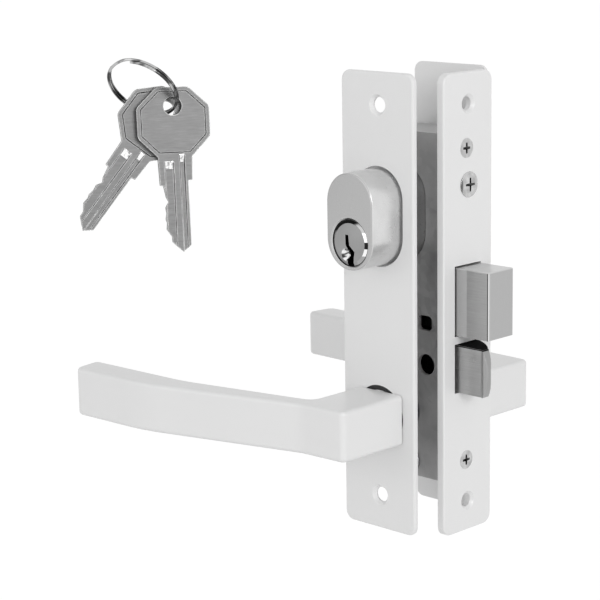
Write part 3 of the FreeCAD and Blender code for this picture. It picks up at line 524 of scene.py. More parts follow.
@dataclass(frozen=True)
class CastMetal:
    """Plated metal with an even satin skin."""

    name: str
    low: Rgb
    high: Rgb
    edge: Rgb
    roughness: Pair = (0.30, 0.42)
    fine: float = 2200.0
    slow: float = 120.0
    depth: float = 0.3
    # Reach of the lighter edges, which stand for wear and painted sheen.
    wear_and_sheen_reach: float = 0.0004
    zones: tuple[Zone, ...] = ()

    def make(self) -> bpy.types.Material:
        """Build the material.

        Returns:
            The material.
        """
        metal = Dresser(self.name)
        grain = metal.group(grain_group, fine_scale=self.fine, slow_scale=self.slow).outputs
        tone = metal.blend(metal.span(grain["Drift"], 0.0, 1.0), self.low, self.high)
        rough = metal.span(grain["Height"], *self.roughness)
        tone, rough = metal.lay(tone, rough, self.zones)
        return metal.close(metal.lay_edge_wear_and_sheen(tone, self.edge, self.wear_and_sheen_reach, 500.0), rough,
                           grain["Height"], self.depth)


@dataclass(frozen=True)
class PolishedMetal:
    """Bright plated metal with painted reflections: light and dark patches in its colour."""

    name: str
    dark: Rgb
    bright: Rgb
    patches: float
    balance: float = 0.47
    edge: float = 0.05

    def make(self) -> bpy.types.Material:
        """Build the material.

        Returns:
            The material.
        """
        metal = Dresser(self.name)
        glints = metal.group(glints_group, patch_scale=self.patches, balance=self.balance,
                             edge=self.edge)
        grain = metal.group(grain_group, fine_scale=2600.0, slow_scale=200.0).outputs
        tone = metal.blend(glints.outputs["Mask"], self.dark, self.bright)
        return metal.close(tone, metal.span(grain["Drift"], 0.12, 0.24), grain["Height"],
                           0.1, 0.00001)


@dataclass(frozen=True)
class ZincSheet:
    """Mottled galvanised sheet of the lock case."""

    name: str = "galvanised_sheet"
    low: Rgb = (0.28, 0.28, 0.282)
    high: Rgb = grey(0.46)
    # Lighter towards the top and the bottom: painted light where more light reaches the case
    # between the plates.
    zones: tuple[Zone, ...] = (Zone((0.0, 0.0, -1.0), 0.012, grey(0.58), 0.08),
                               Zone(UP, 0.020, grey(0.58), 0.08))

    def make(self) -> bpy.types.Material:
        """Build the material.

        Returns:
            The material.
        """
        sheet = Dresser(self.name)
        spangle = sheet.group(spangle_group, patch_scale=420.0).outputs
        tone = sheet.blend(sheet.span(spangle["Tone"], 0.0, 1.0), self.low, self.high)
        tone, rough = sheet.lay(tone, sheet.span(spangle["Tone"], 0.38, 0.6), self.zones)
        return sheet.close(tone, rough, spangle["Height"], 0.15, 0.00003, 0.5)


@dataclass(frozen=True)
class Nylon:
    """Moulded black nylon of the handle bushes."""

    name: str = "black_nylon"
    low: Rgb = (0.008, 0.008, 0.009)
    high: Rgb = (0.014, 0.014, 0.015)

    def make(self) -> bpy.types.Material:
        """Build the material.

        Returns:
            The material.
        """
        nylon = Dresser(self.name)
        grain = nylon.group(grain_group, fine_scale=900.0, slow_scale=80.0).outputs
        tone = nylon.blend(grain["Drift"], self.low, self.high)
        return nylon.close(tone, nylon.span(grain["Height"], 0.45, 0.6), grain["Height"],
                           0.25, 0.00004, 0.0)


FINISHES = {
    "white_coat": PowderCoat(),
    "zinc_sheet": ZincSheet(),
    # The darker front face and the darker inner part are painted shade; the inner part is where the
    # body runs behind the plate.
    "nickel": CastMetal(
        "satin_nickel", grey(0.66), grey(0.74), grey(0.80), roughness=(0.27, 0.32), depth=0.05,
        zones=(Zone(OUT, FACE_LEVEL, grey(0.45)), Zone(INWARD, -0.0150, grey(0.42)))),
    "plug_nickel": CastMetal("plug_nickel", grey(0.28), grey(0.34), grey(0.5), depth=0.08),
    # The light and dark bands on the plug's bevel ring are painted reflections; its darker left
    # side and black top are painted shade.
    "plug_bevel_painted_light": CastMetal(
        "plug_bevel_painted_light", grey(0.34), grey(0.42), grey(0.5), roughness=(0.14, 0.2), depth=0.05,
        wear_and_sheen_reach=0.0001,
        zones=(Zone(UP, 0.0181, grey(0.92)), Zone(UP, 0.0203, grey(0.02)),
               Zone(UP, 0.0223, grey(0.92)), Zone(UP, 0.0248, grey(0.36), 0.0004),
               Zone(LEFT, 0.0130, grey(0.30), 0.0008),
               Zone((-0.34, 0.0, 0.94), 0.0300, grey(0.02), 0.0008, dull=True))),
    # The key flare's light and dark patches are painted reflections.
    "bright_nickel": PolishedMetal("bright_nickel", grey(0.05), grey(0.88), 420.0, balance=0.44),
    # The bolt's zones paint light: a lighter left part, top and end face as painted highlights, and
    # a dark then a bright line at the end corner as painted shade and highlight.
    "plated_bolt": BrushedMetal(
        "plated_bolt", grey(0.32), grey(0.41), grey(0.5), Direction.ALONG_X,
        zones=(Zone(LEFT, -0.0068, grey(0.46)), Zone(RIGHT, 0.01445, grey(0.10)),
               Zone(RIGHT, 0.01485, grey(0.75)), Zone(RIGHT, 0.01515, grey(0.45)),
               Zone(UP, 0.0122, grey(0.58)))),
    # The latch's zones are painted shade: a darker nose and a black strip along the top.
    "plated_latch": BrushedMetal(
        "plated_latch", grey(0.38), grey(0.48), grey(0.5), Direction.ALONG_X, smudge=0.25,
        zones=(Zone(RIGHT, 0.0114, grey(0.34), 0.0008),
               Zone(UP, -0.01165, grey(0.01), dull=True))),
    "screw_steel": CastMetal("zinc_plated_screw", grey(0.40), grey(0.62), grey(0.80), slow=420.0),
    # The dark zone on the head's left side is painted shade.
    "screw_bright": CastMetal(
        "screw_bright", grey(0.40), grey(0.66), grey(0.85), roughness=(0.2, 0.3), slow=420.0,
        zones=(Zone(OUT, 0.0026, grey(0.10), 0.0005),)),
    "inner_steel": BrushedMetal("plain_steel", (0.26, 0.26, 0.27), (0.36, 0.36, 0.37), grey(0.5),
                                Direction.ALONG_Y),
    "brass_pins": CastMetal("turned_brass", (0.35, 0.25, 0.10), (0.42, 0.31, 0.13),
                            (0.5, 0.38, 0.2)),
    # The key pins' near-black tone is painted shade inside the keyway, not their own brass colour.
    "dark_pins": CastMetal("key_pins_painted_dark", (0.05, 0.045, 0.035), (0.08, 0.07, 0.05),
                           (0.12, 0.1, 0.08)),
    "spring_steel": CastMetal("spring_wire", (0.36, 0.36, 0.37), (0.48, 0.48, 0.49), grey(0.6)),
    # The ring wire's light and dark patches are painted reflections.
    "ring_wire": PolishedMetal("ring_wire", grey(0.06), grey(0.50), 240.0, balance=0.5, edge=0.14),
    "key_nickel": BrushedMetal(
        "key_nickel", grey(0.13), grey(0.225), grey(0.70), Direction.LEVEL, line_size=11.0,
        roughness=(0.42, 0.52), smudge=0.3, wear_and_sheen_reach=0.0005),
    # Bright patches on the grooves' upper ends: painted highlights.
    "key_glint": PolishedMetal("key_glint", grey(0.40), grey(0.95), 900.0, balance=0.42, edge=0.10),
    # Near-black tone for the painted shade on the sunk panels' walls.
    "key_shade": CastMetal("key_shade", grey(0.06), grey(0.12), grey(0.16), depth=0.1),
    "black_nylon": Nylon(),
    # Near-black tone for painted shade in recesses, gaps and the keyway.
    "dark_recess": CastMetal("shaded_recess", grey(0.05), grey(0.09), grey(0.3)),
}


@cache
def material(finish: str) -> bpy.types.Material:
    """Material of a finish, made on its first use."""
    return FINISHES[finish].make()


def dress(piece: Piece, *finishes: str) -> None:
    """Give a piece its finishes, of which the first covers the whole piece.

    Args:
        piece: The object to dress.
        finishes: Names of the finishes.
    """
    piece.data.materials.clear()
    for finish in finishes:
        piece.data.materials.append(material(finish))


class CarriedNodes:
    """Construction pieces whose own shapes show, and that only need their finishes."""

    finishes: dict[str, tuple[str, ...]] = {
        "white_coat": ("faceplate", "near_escutcheon", "far_escutcheon", "near_lever",
                       "far_lever"),
        "zinc_sheet": ("case_body", "case_cover", "bolt_divider"),
        "inner_steel": ("case_rivets", "grub_screws", "latch_tail", "latch_pins",
                        "bolt_guide_pin", "follower_hub", "spindle", "spring_plunger",
                        "spring_guide", "cylinder_cam"),
        "screw_steel": ("faceplate_screws", "cylinder_screw", "cam_screw"),
        "spring_steel": ("friction_strip", "return_spring", "pin_springs"),
        "black_nylon": ("near_bush", "far_bush"),
        "key_nickel": ("key_front", "key_rear"),
        "plated_bolt": ("deadbolt",),
        "plated_latch": ("latch_bolt",),
        "nickel": ("cylinder_body",),
        "plug_nickel": ("cylinder_plug",),
        # The key pins' near-black tone is painted shade inside the keyway.
        "dark_pins": ("key_pins",),
        "brass_pins": ("driver_pins",),
        "ring_wire": ("key_ring",),
    }

    def build(self) -> None:
        """Give every carried piece its finish."""
        for finish, nodes in self.finishes.items():
            for node in nodes:
                dress(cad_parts[node], finish)
                log.info("carried %s in %s", node, finish)


# ---- ways to make small pieces, in millimetres until a piece is fitted into the frame


def circle(radius: float, steps: int, x: float = 0.0, y: float = 0.0) -> list[Pair]:
    """Even points round a circle with its middle at x and y."""
    angles = [math.tau * step / steps for step in range(steps)]
    return [(x + radius * math.cos(angle), y + radius * math.sin(angle)) for angle in angles]


def loft(name: str, sections: Sequence[Sequence[Triple]]) -> Piece:
    """Join closed sections of equal point counts and close both ends.

    Args:
        name: Name of the object.
        sections: The sections in order, each a closed run of points.

    Returns:
        The closed body, linked to the scene.
    """
    count = len(sections[0])
    points = [tuple(point) for section in sections for point in section]
    faces: list[Sequence[int]] = []
    for level in range(len(sections) - 1):
        low, high = level * count, (level + 1) * count
        for index in range(count):
            after = (index + 1) % count
            faces.append((low + index, low + after, high + after, high + index))
    last = (len(sections) - 1) * count
    faces.append(tuple(reversed(range(count))))
    faces.append(tuple(range(last, last + count)))
    mesh = bpy.data.meshes.new(name)
    mesh.from_pydata(points, [], faces)
    made = bmesh.new()
    made.from_mesh(mesh)
    bmesh.ops.remove_doubles(made, verts=made.verts, dist=1e-5)
    bmesh.ops.recalc_face_normals(made, faces=made.faces)
    made.to_mesh(mesh)
    made.free()
    return hang(name, mesh)


def prism(name: str, outline: Sequence[Pair], low: float, high: float) -> Piece:
    """Sweep a flat outline along Z."""
    return loft(name, [[(x, y, level) for x, y in outline] for level in (low, high)])


def lathe(name: str, profile: Sequence[Pair], steps: int) -> Piece:
    """Turn a profile round Z.

    Args:
        name: Name of the object.
        profile: Radius and height of each point from the bottom to the top.
        steps: Number of points round the axis.

    Returns:
        The turned body.
    """
    return loft(name, [[(x, y, z) for x, y in circle(r, steps)] for r, z in profile])


def tube(name: str, line: Sequence[Triple], radius: float) -> Piece:
    """Lay round wire along a line and close its ends.

    Args:
        name: Name of the object.
        line: Points of the line.
        radius: Radius of the wire.

    Returns:
        The wire.
    """
    curve = bpy.data.curves.new(name, "CURVE")
    curve.dimensions = "3D"
    curve.bevel_depth = radius
    curve.bevel_resolution = 6
    curve.use_fill_caps = True
    route = curve.splines.new("POLY")
    route.points.add(len(line) - 1)
    for point, place in zip(route.points, line):
        point.co = (*place, 1.0)
    holder = hang(name + "_line", curve)
    mesh = evaluated(holder)
    bpy.data.objects.remove(holder)
    mesh.shade_smooth()
    mesh.set_sharp_from_angle(angle=math.radians(60.0))
    return hang(name, mesh)


def directions(points: Sequence[Pair], index: int) -> tuple[Vector, Vector, Vector]:
    """Look both ways along an outline from one of its corners.

    Args:
        points: The corners of the outline.
        index: Which corner.

    Returns:
        The corner, and the unit directions to the corner before and to the one after.
    """
    here = Vector(points[index])
    back = (Vector(points[index - 1]) - here).normalized()
    ahead = (Vector(points[(index + 1) % len(points)]) - here).normalized()
    return here, back, ahead


def rounded(points: Sequence[Pair], radii: Sequence[float], steps: int = 5) -> list[Pair]:
    """Round an outline's corners with arcs.

    Args:
        points: The corners.
        radii: Radius of each corner, or 0 to keep it sharp.
        steps: Points on each arc, less one.

    Returns:
        The rounded outline.
    """
    outline: list[Pair] = []
    for index, radius in enumerate(radii):
        if not radius:
            outline.append(points[index])
            continue
        here, back, ahead = directions(points, index)
        half = back.angle(ahead) / 2
        middle = here + (back + ahead).normalized() * radius / math.sin(half)
        reach = radius / math.tan(half)
        start = here + back * reach - middle
        swing = start.angle_signed(here + ahead * reach - middle)
        for step in range(steps + 1):
            turned = start.copy()
            turned.rotate(Matrix.Rotation(-swing * step / steps, 2))
            outline.append(tuple(middle + turned))
    return outline


def evaluated(piece: Piece) -> bpy.types.Mesh:
    """Mesh of a curve, or of a piece with its modifiers applied."""
    graph = bpy.context.evaluated_depsgraph_get()
    return bpy.data.meshes.new_from_object(piece.evaluated_get(graph))


def apply(piece: Piece) -> None:
    """Put the result of a piece's modifiers into its mesh.

    Args:
        piece: The piece.
    """
    mesh = evaluated(piece)
    piece.modifiers.clear()
    piece.data = mesh


def combine(piece: Piece, others: Iterable[Piece], way: Operation = Operation.CUT) -> None:
    """Cut other bodies out of a piece, or join them to it, and remove them.

    Args:
        piece: The piece to change.
        others: The other bodies.
        way: What the bodies do to the piece.
    """
    for other in others:
        change = piece.modifiers.new("change", "BOOLEAN")
        change.operation = way.value
        change.solver = "EXACT"
        change.object = other
        apply(piece)
        bpy.data.objects.remove(other)


def soften(piece: Piece, width: float, segments: int, above: float) -> None:
    """Round a piece's sharp edges and shade it smooth.

    Args:
        piece: The piece.
        width: Width of the rounding.
        segments: Steps across it.
        above: Least angle in degrees of an edge that is rounded.
    """
    edge = piece.modifiers.new("edge", "BEVEL")
    edge.width = width
    edge.segments = segments
    edge.limit_method = "ANGLE"
    edge.angle_limit = math.radians(above)
    edge.miter_outer = "MITER_ARC"
    piece.data.shade_smooth()
    weighted = piece.modifiers.new("weighted", "WEIGHTED_NORMAL")
    weighted.keep_sharp = True
    apply(piece)


def fit(piece: Piece, place: Matrix, node: str, body: str) -> None:
    """Put a piece into the frame in metres, in place of the node that it stands for.

    Args:
        piece: The piece.
        place: Its placement in the frame, in millimetres.
        node: The construction node that it replaces.
        body: The body that it rides on.
    """
    piece.data.transform(Matrix.Scale(MM, 4) @ place)
    piece.data.update()
    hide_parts(node)
    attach(piece, body)
    log.info("%s replaces %s", piece.name, node)


@dataclass
class CrossScrews:
    """Sunk-head screws with cross recesses that hold the case and the cylinder."""

    face_x: float = 2.5
    small_at: Pair = (-0.6, 47.85)
    large_at: Pair = (0.4, 36.9)
    small: tuple[Pair, ...] = (
        (0.0, -8.2), (1.75, -8.2), (1.75, -1.17), (3.0, -0.12), (2.93, -0.02), (2.4, 0.0),
        (0.0, 0.0),
    )
    large: tuple[Pair, ...] = (
        (0.0, -19.4), (2.4, -19.4), (2.4, -1.35), (3.86, -0.1), (3.86, 0.16), (3.7, 0.33),
        (3.1, 0.46), (2.0, 0.56), (0.0, 0.6),
    )
    small_reach: float = 1.65
    large_reach: float = 2.15
    arm_root: float = 0.44
    arm_tip: float = 0.34
    taper: tuple[Pair, ...] = ((0.3, 1.08), (0.0, 1.0), (-1.35, 0.42))
    taper_share: float = 0.4
    shade_reach: float = 1.05
    shade_levels: Pair = (-1.6, -0.14)

    def build(self) -> None:
        """Make the screws and dress them."""
        across, height = self.small_at
        small = (self.small, self.small_reach, "screw_steel", "faceplate_screws")
        large = (self.large, self.large_reach, "screw_bright", "cylinder_screw")
        for name, (y, z), (profile, reach, finish, node) in (
            ("case_screw_upper", (across, height), small),
            ("case_screw_lower", (across, -height), small),
            ("cylinder_fixing_screw", self.large_at, large),
        ):
            screw = self._screw(name, profile, reach)
            dress(screw, finish, "dark_recess")
            self._shade(screw, profile[-1][1], reach)
            lie = Matrix.Translation((self.face_x, y, z)) @ Matrix.Rotation(math.pi / 2, 4, "Y")
            fit(screw, lie, node, "lock_case")

    def _screw(self, name: str, profile: Sequence[Pair], reach: float) -> Piece:
        """Make one screw that points up along Z.

        Args:
            name: Name of the screw.
            profile: Its turned profile.
            reach: Reach of the recess's arms from the axis.

        Returns:
            The screw.
        """
        top = profile[-1][1]
        sections = []
        for depth, grow in self.taper:
            thin = 1.0 - self.taper_share + self.taper_share * grow
            root, tip = self.arm_root * thin, self.arm_tip * thin
            run = []
            for arm in range(4):
                angle = math.radians(arm * 90.0)
                cos, sin = math.cos(angle), math.sin(angle)
                for x, y in ((root, -root), (reach * grow, -tip), (reach * grow, tip),
                             (root, root)):
                    run.append((x * cos - y * sin, x * sin + y * cos, top + depth))
            sections.append(run)
        screw = lathe(name, profile, 56)
        combine(screw, [loft("recess", sections)])
        soften(screw, width=0.07, segments=2, above=40.0)
        return screw

    def _shade(self, screw: Piece, top: float, reach: float) -> None:
        """Paint shade into the recess of a screw.

        Args:
            screw: The screw.
            top: Height of its crown.
            reach: Reach of the recess's arms from the axis.
        """
        floor, lip = self.shade_levels
        for face in screw.data.polygons:
            x, y, z = face.center
            if math.hypot(x, y) < reach * self.shade_reach and floor < z < top + lip:
                face.material_index = 1


@dataclass
class CutKey:
    """One flat key: octagonal bow with a raised rim, milled grooves and a cut blade."""

    name: str
    node: str
    body: str
    aside: Triple
    turn: float
    thick: float = 2.0
    hole_r: float = 2.75
    rim: float = 1.15
    sunk: float = 0.25
    slope: float = 0.3
    corner: float = 2.2
    neck_corner: float = 0.8
    least_corner: float = 0.5
    groove_depth: float = 0.6
    groove_low: float = -46.0
    groove_flare: float = 0.22
    cutter_r: float = 9.0
    grooves: tuple[Triple, ...] = ((-3.1, -0.7, -16.5), (1.45, 2.65, -14.5))
    back_groove: Triple = (0.2, 1.3, -16.0)
    bow: tuple[Pair, ...] = (
        (4.8, 5.7), (11.0, -0.25), (11.0, -9.3), (5.2, -15.2), (-5.2, -15.2), (-11.0, -9.3),
        (-11.0, -0.25), (-4.8, 5.7),
    )
    blade: tuple[Pair, ...] = (
        (4.9, -22.3), (3.65, -22.5), (3.65, -41.9), (1.26, -43.9), (-1.9, -40.9), (-2.0, -39.2),
        (-3.48, -37.0), (-3.3, -35.0), (-3.66, -33.9), (-3.33, -32.2), (-3.57, -30.4),
        (-2.55, -28.7), (-3.24, -27.4), (-3.9, -23.9), (-4.9, -23.7),
    )

    def build(self, plane: Matrix) -> None:
        """Make the key and dress it.

        Args:
            plane: Placement of the keys' common plane, in millimetres.
        """
        half = self.thick / 2
        outline = [*self.bow[:4], *self.blade, *self.bow[4:]]
        side = [self.corner] * 3
        radii = [*side, self.neck_corner, *[0.0] * len(self.blade), self.neck_corner, *side]
        key = prism(self.name, rounded(outline, radii), -half, half)
        cutters = [prism("hole", circle(self.hole_r, 40), -self.thick, self.thick)]
        levels = ((self.rim + self.slope, half - self.sunk), (self.rim, half),
                  (self.rim, self.thick))
        for face in (1, -1):
            cutters.append(loft("panel", [[(x, y, face * z) for x, y in self._panel(inset)]
                                          for inset, z in levels]))
        cutters += [self._groove(groove, 1) for groove in self.grooves]
        cutters.append(self._groove(self.back_groove, -1))
        combine(key, cutters)
        soften(key, width=0.12, segments=2, above=30.0)
        dress(key, "key_nickel", "key_glint", "key_shade")
        self._shade(key)
        place = Matrix.Translation(self.aside) @ Matrix.Rotation(math.radians(self.turn), 4, "Z")
        fit(key, plane @ place, self.node, self.body)

    def _shade(self, key: Piece) -> None:
        """Paint highlights on the grooves' upper ends and shade on the walls of the sunk panels.

        Args:
            key: The key.
        """
        flat, gentle, steep = 0.995, 0.7, 0.3
        beside, past_hole, past_top = 0.1, 0.3, 0.5
        above_floor, below_skin = 0.01, 0.02
        half = self.thick / 2
        floor, skin = half - self.groove_depth + above_floor, half - below_skin
        bow_end = min(y for _, y in self.bow) + self.rim - beside
        for face in key.data.polygons:
            (x, y, z), tilt = face.center, abs(face.normal.z)
            if not floor < abs(z) < skin or tilt > flat:
                continue
            if y > bow_end:
                if math.hypot(x, y) > self.hole_r + past_hole and tilt > steep:
                    face.material_index = 2
            elif tilt > gentle and any(x0 - beside < x < x1 + beside and y < top + past_top
                                       for x0, x1, top in (*self.grooves, self.back_groove)):
                face.material_index = 1

    def _panel(self, inset: float) -> list[Pair]:
        """Outline that lies inside the bow's own.

        Args:
            inset: How far inside.

        Returns:
            The outline.
        """
        inner = []
        for index in range(len(self.bow)):
            here, back, ahead = directions(self.bow, index)
            inward = (back + ahead).normalized()
            inner.append(tuple(here + inward * inset / math.sin(back.angle(ahead) / 2)))
        corner = max(self.corner - inset, self.least_corner)
        return rounded(inner, [corner] * len(inner))

    def _groove(self, groove: Triple, side: int) -> Piece:
        """Body of one milled groove, which runs out under a round cutter at its upper end.

        Args:
            groove: Its left edge, its right edge and the height where it runs out of the face.
            side: 1 on the front face, -1 on the back.

        Returns:
            The body to cut with.
        """
        x0, x1, top = groove
        half, depth, steps = self.thick / 2, self.groove_depth, 7
        clear, past_top, lip = 1.0, 0.6, 0.1
        run_out = math.sqrt(2 * self.cutter_r * depth - depth * depth)
        profile = [(self.groove_low, half + clear), (self.groove_low, half - depth),
                   (top - run_out, half - depth)]
        for step in range(1, steps + 1):
            along = run_out * step / steps
            lift = self.cutter_r - math.sqrt(self.cutter_r ** 2 - along ** 2)
            profile.append((top - run_out + along, half - depth + lift))
        profile.append((top + past_top, half + clear))
        walls = []
        for edge, way in ((x0, -1), (x1, 1)):
            walls.append([(edge + way * (self.groove_flare if z > half - lip else 0.0), y,
                           side * z) for y, z in profile])
        return loft("groove", walls)


@dataclass
class KeyBunch:
    """Two keys on a split ring, hanging along one line of sight."""

    at: Triple = (-68.466, -53.161, 60.295)
    lean: float = 12.0
    lean_way: float = 19.5
    front_turn: float = 3.1
    rear_turn: float = -36.0
    rear_aside: Triple = (-1.8, -1.3, -2.6)
    ring_r: float = 11.0
    ring_wire: float = 0.9
    ring_pitch: float = 1.0
    ring_turns: float = 1.86
    ring_cross: float = 0.13
    ring_at: Triple = (-8.64, 5.3, 2.18)
    ring_turn: float = -25.5
    ring_tilt: float = 57.1
    ring_start: float = 171.0
    ring_steps: int = 192

    def build(self) -> None:
        """Make the keys and the ring."""
        view, slant = sight(self.at), math.radians(self.lean_way)
        axis = Vector((math.sin(slant), math.cos(slant), 0.0))
        plane = view @ Matrix.Rotation(math.radians(self.lean), 4, axis)
        for key in (
            CutKey("front_key", "key_front", "first_key", (0.0, 0.0, 0.0), self.front_turn),
            CutKey("rear_key", "key_rear", "second_key", self.rear_aside, self.rear_turn),
        ):
            key.build(plane)
        self._ring(view)

    def _ring(self, view: Matrix) -> None:
        """Make the ring of two wire turns that lie on each other.

        Args:
            view: Placement on the line of sight.
        """
        line = []
        for step in range(self.ring_steps + 1):
            turned = self.ring_turns * step / self.ring_steps
            angle = math.tau * turned
            share = (turned - 1.0 + self.ring_cross) / self.ring_cross
            share = min(max(share, 0.0), 1.0)
            rise = self.ring_pitch * (share * share * (3.0 - 2.0 * share) - 0.5)
            line.append((self.ring_r * math.cos(angle), self.ring_r * math.sin(angle), rise))
        ring = tube("split_ring", line, self.ring_wire / 2)
        dress(ring, "ring_wire")
        lie = Matrix.Translation(self.ring_at)
        for turn, axis in ((self.ring_turn, "Z"), (self.ring_tilt, "X"), (self.ring_start, "Z")):
            lie = lie @ Matrix.Rotation(math.radians(turn), 4, axis)
        fit(ring, view @ lie, "key_ring", "lock_case")


@dataclass
class ReturnSpring:
    """Coil under the hub's heel, which shortens as the plunger goes down with the levers."""

    axis: Pair = (-26.5, 0.0)
    foot: float = -51.5
    head: float = -33.66
    radius: float = 2.25
    wire_r: float = 0.35
    turns: int = 7
    turn_steps: int = 24
    travel: float = 7.6

    def build(self) -> None:
        """Make the coil and dress it."""
        steps = self.turn_steps * self.turns
        low, high = self.foot + self.wire_r, self.head - self.wire_r
        line = []
        for step in range(steps + 1):
            angle = math.tau * self.turns * step / steps
            line.append((self.axis[0] + self.radius * math.cos(angle),
                         self.axis[1] + self.radius * math.sin(angle),
                         low + (high - low) * step / steps))
        coil = tube("hub_spring", line, self.wire_r)
        dress(coil, "spring_steel")
        fit(coil, Matrix.Identity(4), "return_spring", "lock_case")
        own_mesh(coil)


@dataclass
class LatchHead:
    """Head of the latch: a crowned nose and a bevel towards the far side."""

    near_y: float = -5.0
    thick: float = 10.0
    bottom: float = -25.8
    top: float = -11.2
    back: float = -3.5
    nose: float = 14.3
    face: float = 11.9
    lip: Pair = (12.4, -2.6)
    tip: Pair = (14.3, -3.9)
    bevel: Pair = (8.7, 1.2)
    heel: float = 2.1
    lip_steps: int = 14
    bevel_steps: int = 24
    levels: int = 26
    crown_r: float = 16.5
    slot_x: float = 1.5
    slot_half_y: float = 1.5
    slot_z: Pair = (-20.6, -13.2)
    pin_x: float = -1.0
    pin_r: float = 1.1
    pin_z: Pair = (-18.9, -14.9)

    def build(self) -> None:
        """Make the head and dress it."""
        near_y, far_y, back = self.near_y, self.near_y + self.thick, self.back
        plan = [(back, near_y), (self.face, near_y)]
        plan += self._arc((self.face, near_y), self.tip, self.lip, self.lip_steps)[1:]
        plan += self._arc(self.lip, self.bevel, (self.heel, far_y), self.bevel_steps)[1:]
        plan.append((back, far_y))
        sections = []
        middle = (self.top + self.bottom) / 2
        for level in range(self.levels + 1):
            z = self.bottom + (self.top - self.bottom) * level / self.levels
            reach = self.nose - self.crown_r + math.sqrt(self.crown_r ** 2 - (z - middle) ** 2)
            sections.append([(min(x, reach), y, z) for x, y in plan])
        head = loft("latch_head", sections)
        centre = near_y + self.thick / 2
        y0, y1 = centre - self.slot_half_y, centre + self.slot_half_y
        slot = [(back - 1, y0), (self.slot_x, y0), (self.slot_x, y1), (back - 1, y1)]
        cutters = [prism("slot", slot, *self.slot_z)]
        for height in self.pin_z:
            ring = circle(self.pin_r, 32, self.pin_x, height)
            cutters.append(loft("pin_hole", [[(x, y, z) for x, z in ring]
                                             for y in (near_y - 1, far_y + 1)]))
        combine(head, cutters)
        soften(head, width=0.3, segments=3, above=38.0)
        dress(head, "plated_latch")
        fit(head, Matrix.Identity(4), "latch_bolt", "latch")

    @staticmethod
    def _arc(start: Pair, through: Pair, end: Pair, steps: int) -> list[Pair]:
        """Points on the arc through three points.

        Args:
            start: First point.
            through: Point that the arc passes.
            end: Last point.
            steps: Number of steps.

        Returns:
            The points from start to end.
        """
        a = Vector(start)
        b, c = Vector(through) - a, Vector(end) - a
        cross = 2 * (b.x * c.y - b.y * c.x)
        middle = a + Vector(((c.y * b.length_squared - b.y * c.length_squared) / cross,
                             (b.x * c.length_squared - c.x * b.length_squared) / cross))
        from_middle, to_end = a - middle, Vector(end) - middle
        first = math.atan2(from_middle.y, from_middle.x)
        whole = math.atan2(to_end.y, to_end.x) - first
        whole = whole % math.tau if cross > 0 else -((-whole) % math.tau)
        radius = from_middle.length
        return [(middle.x + radius * math.cos(first + whole * step / steps),
                 middle.y + radius * math.sin(first + whole * step / steps))
                for step in range(steps + 1)]


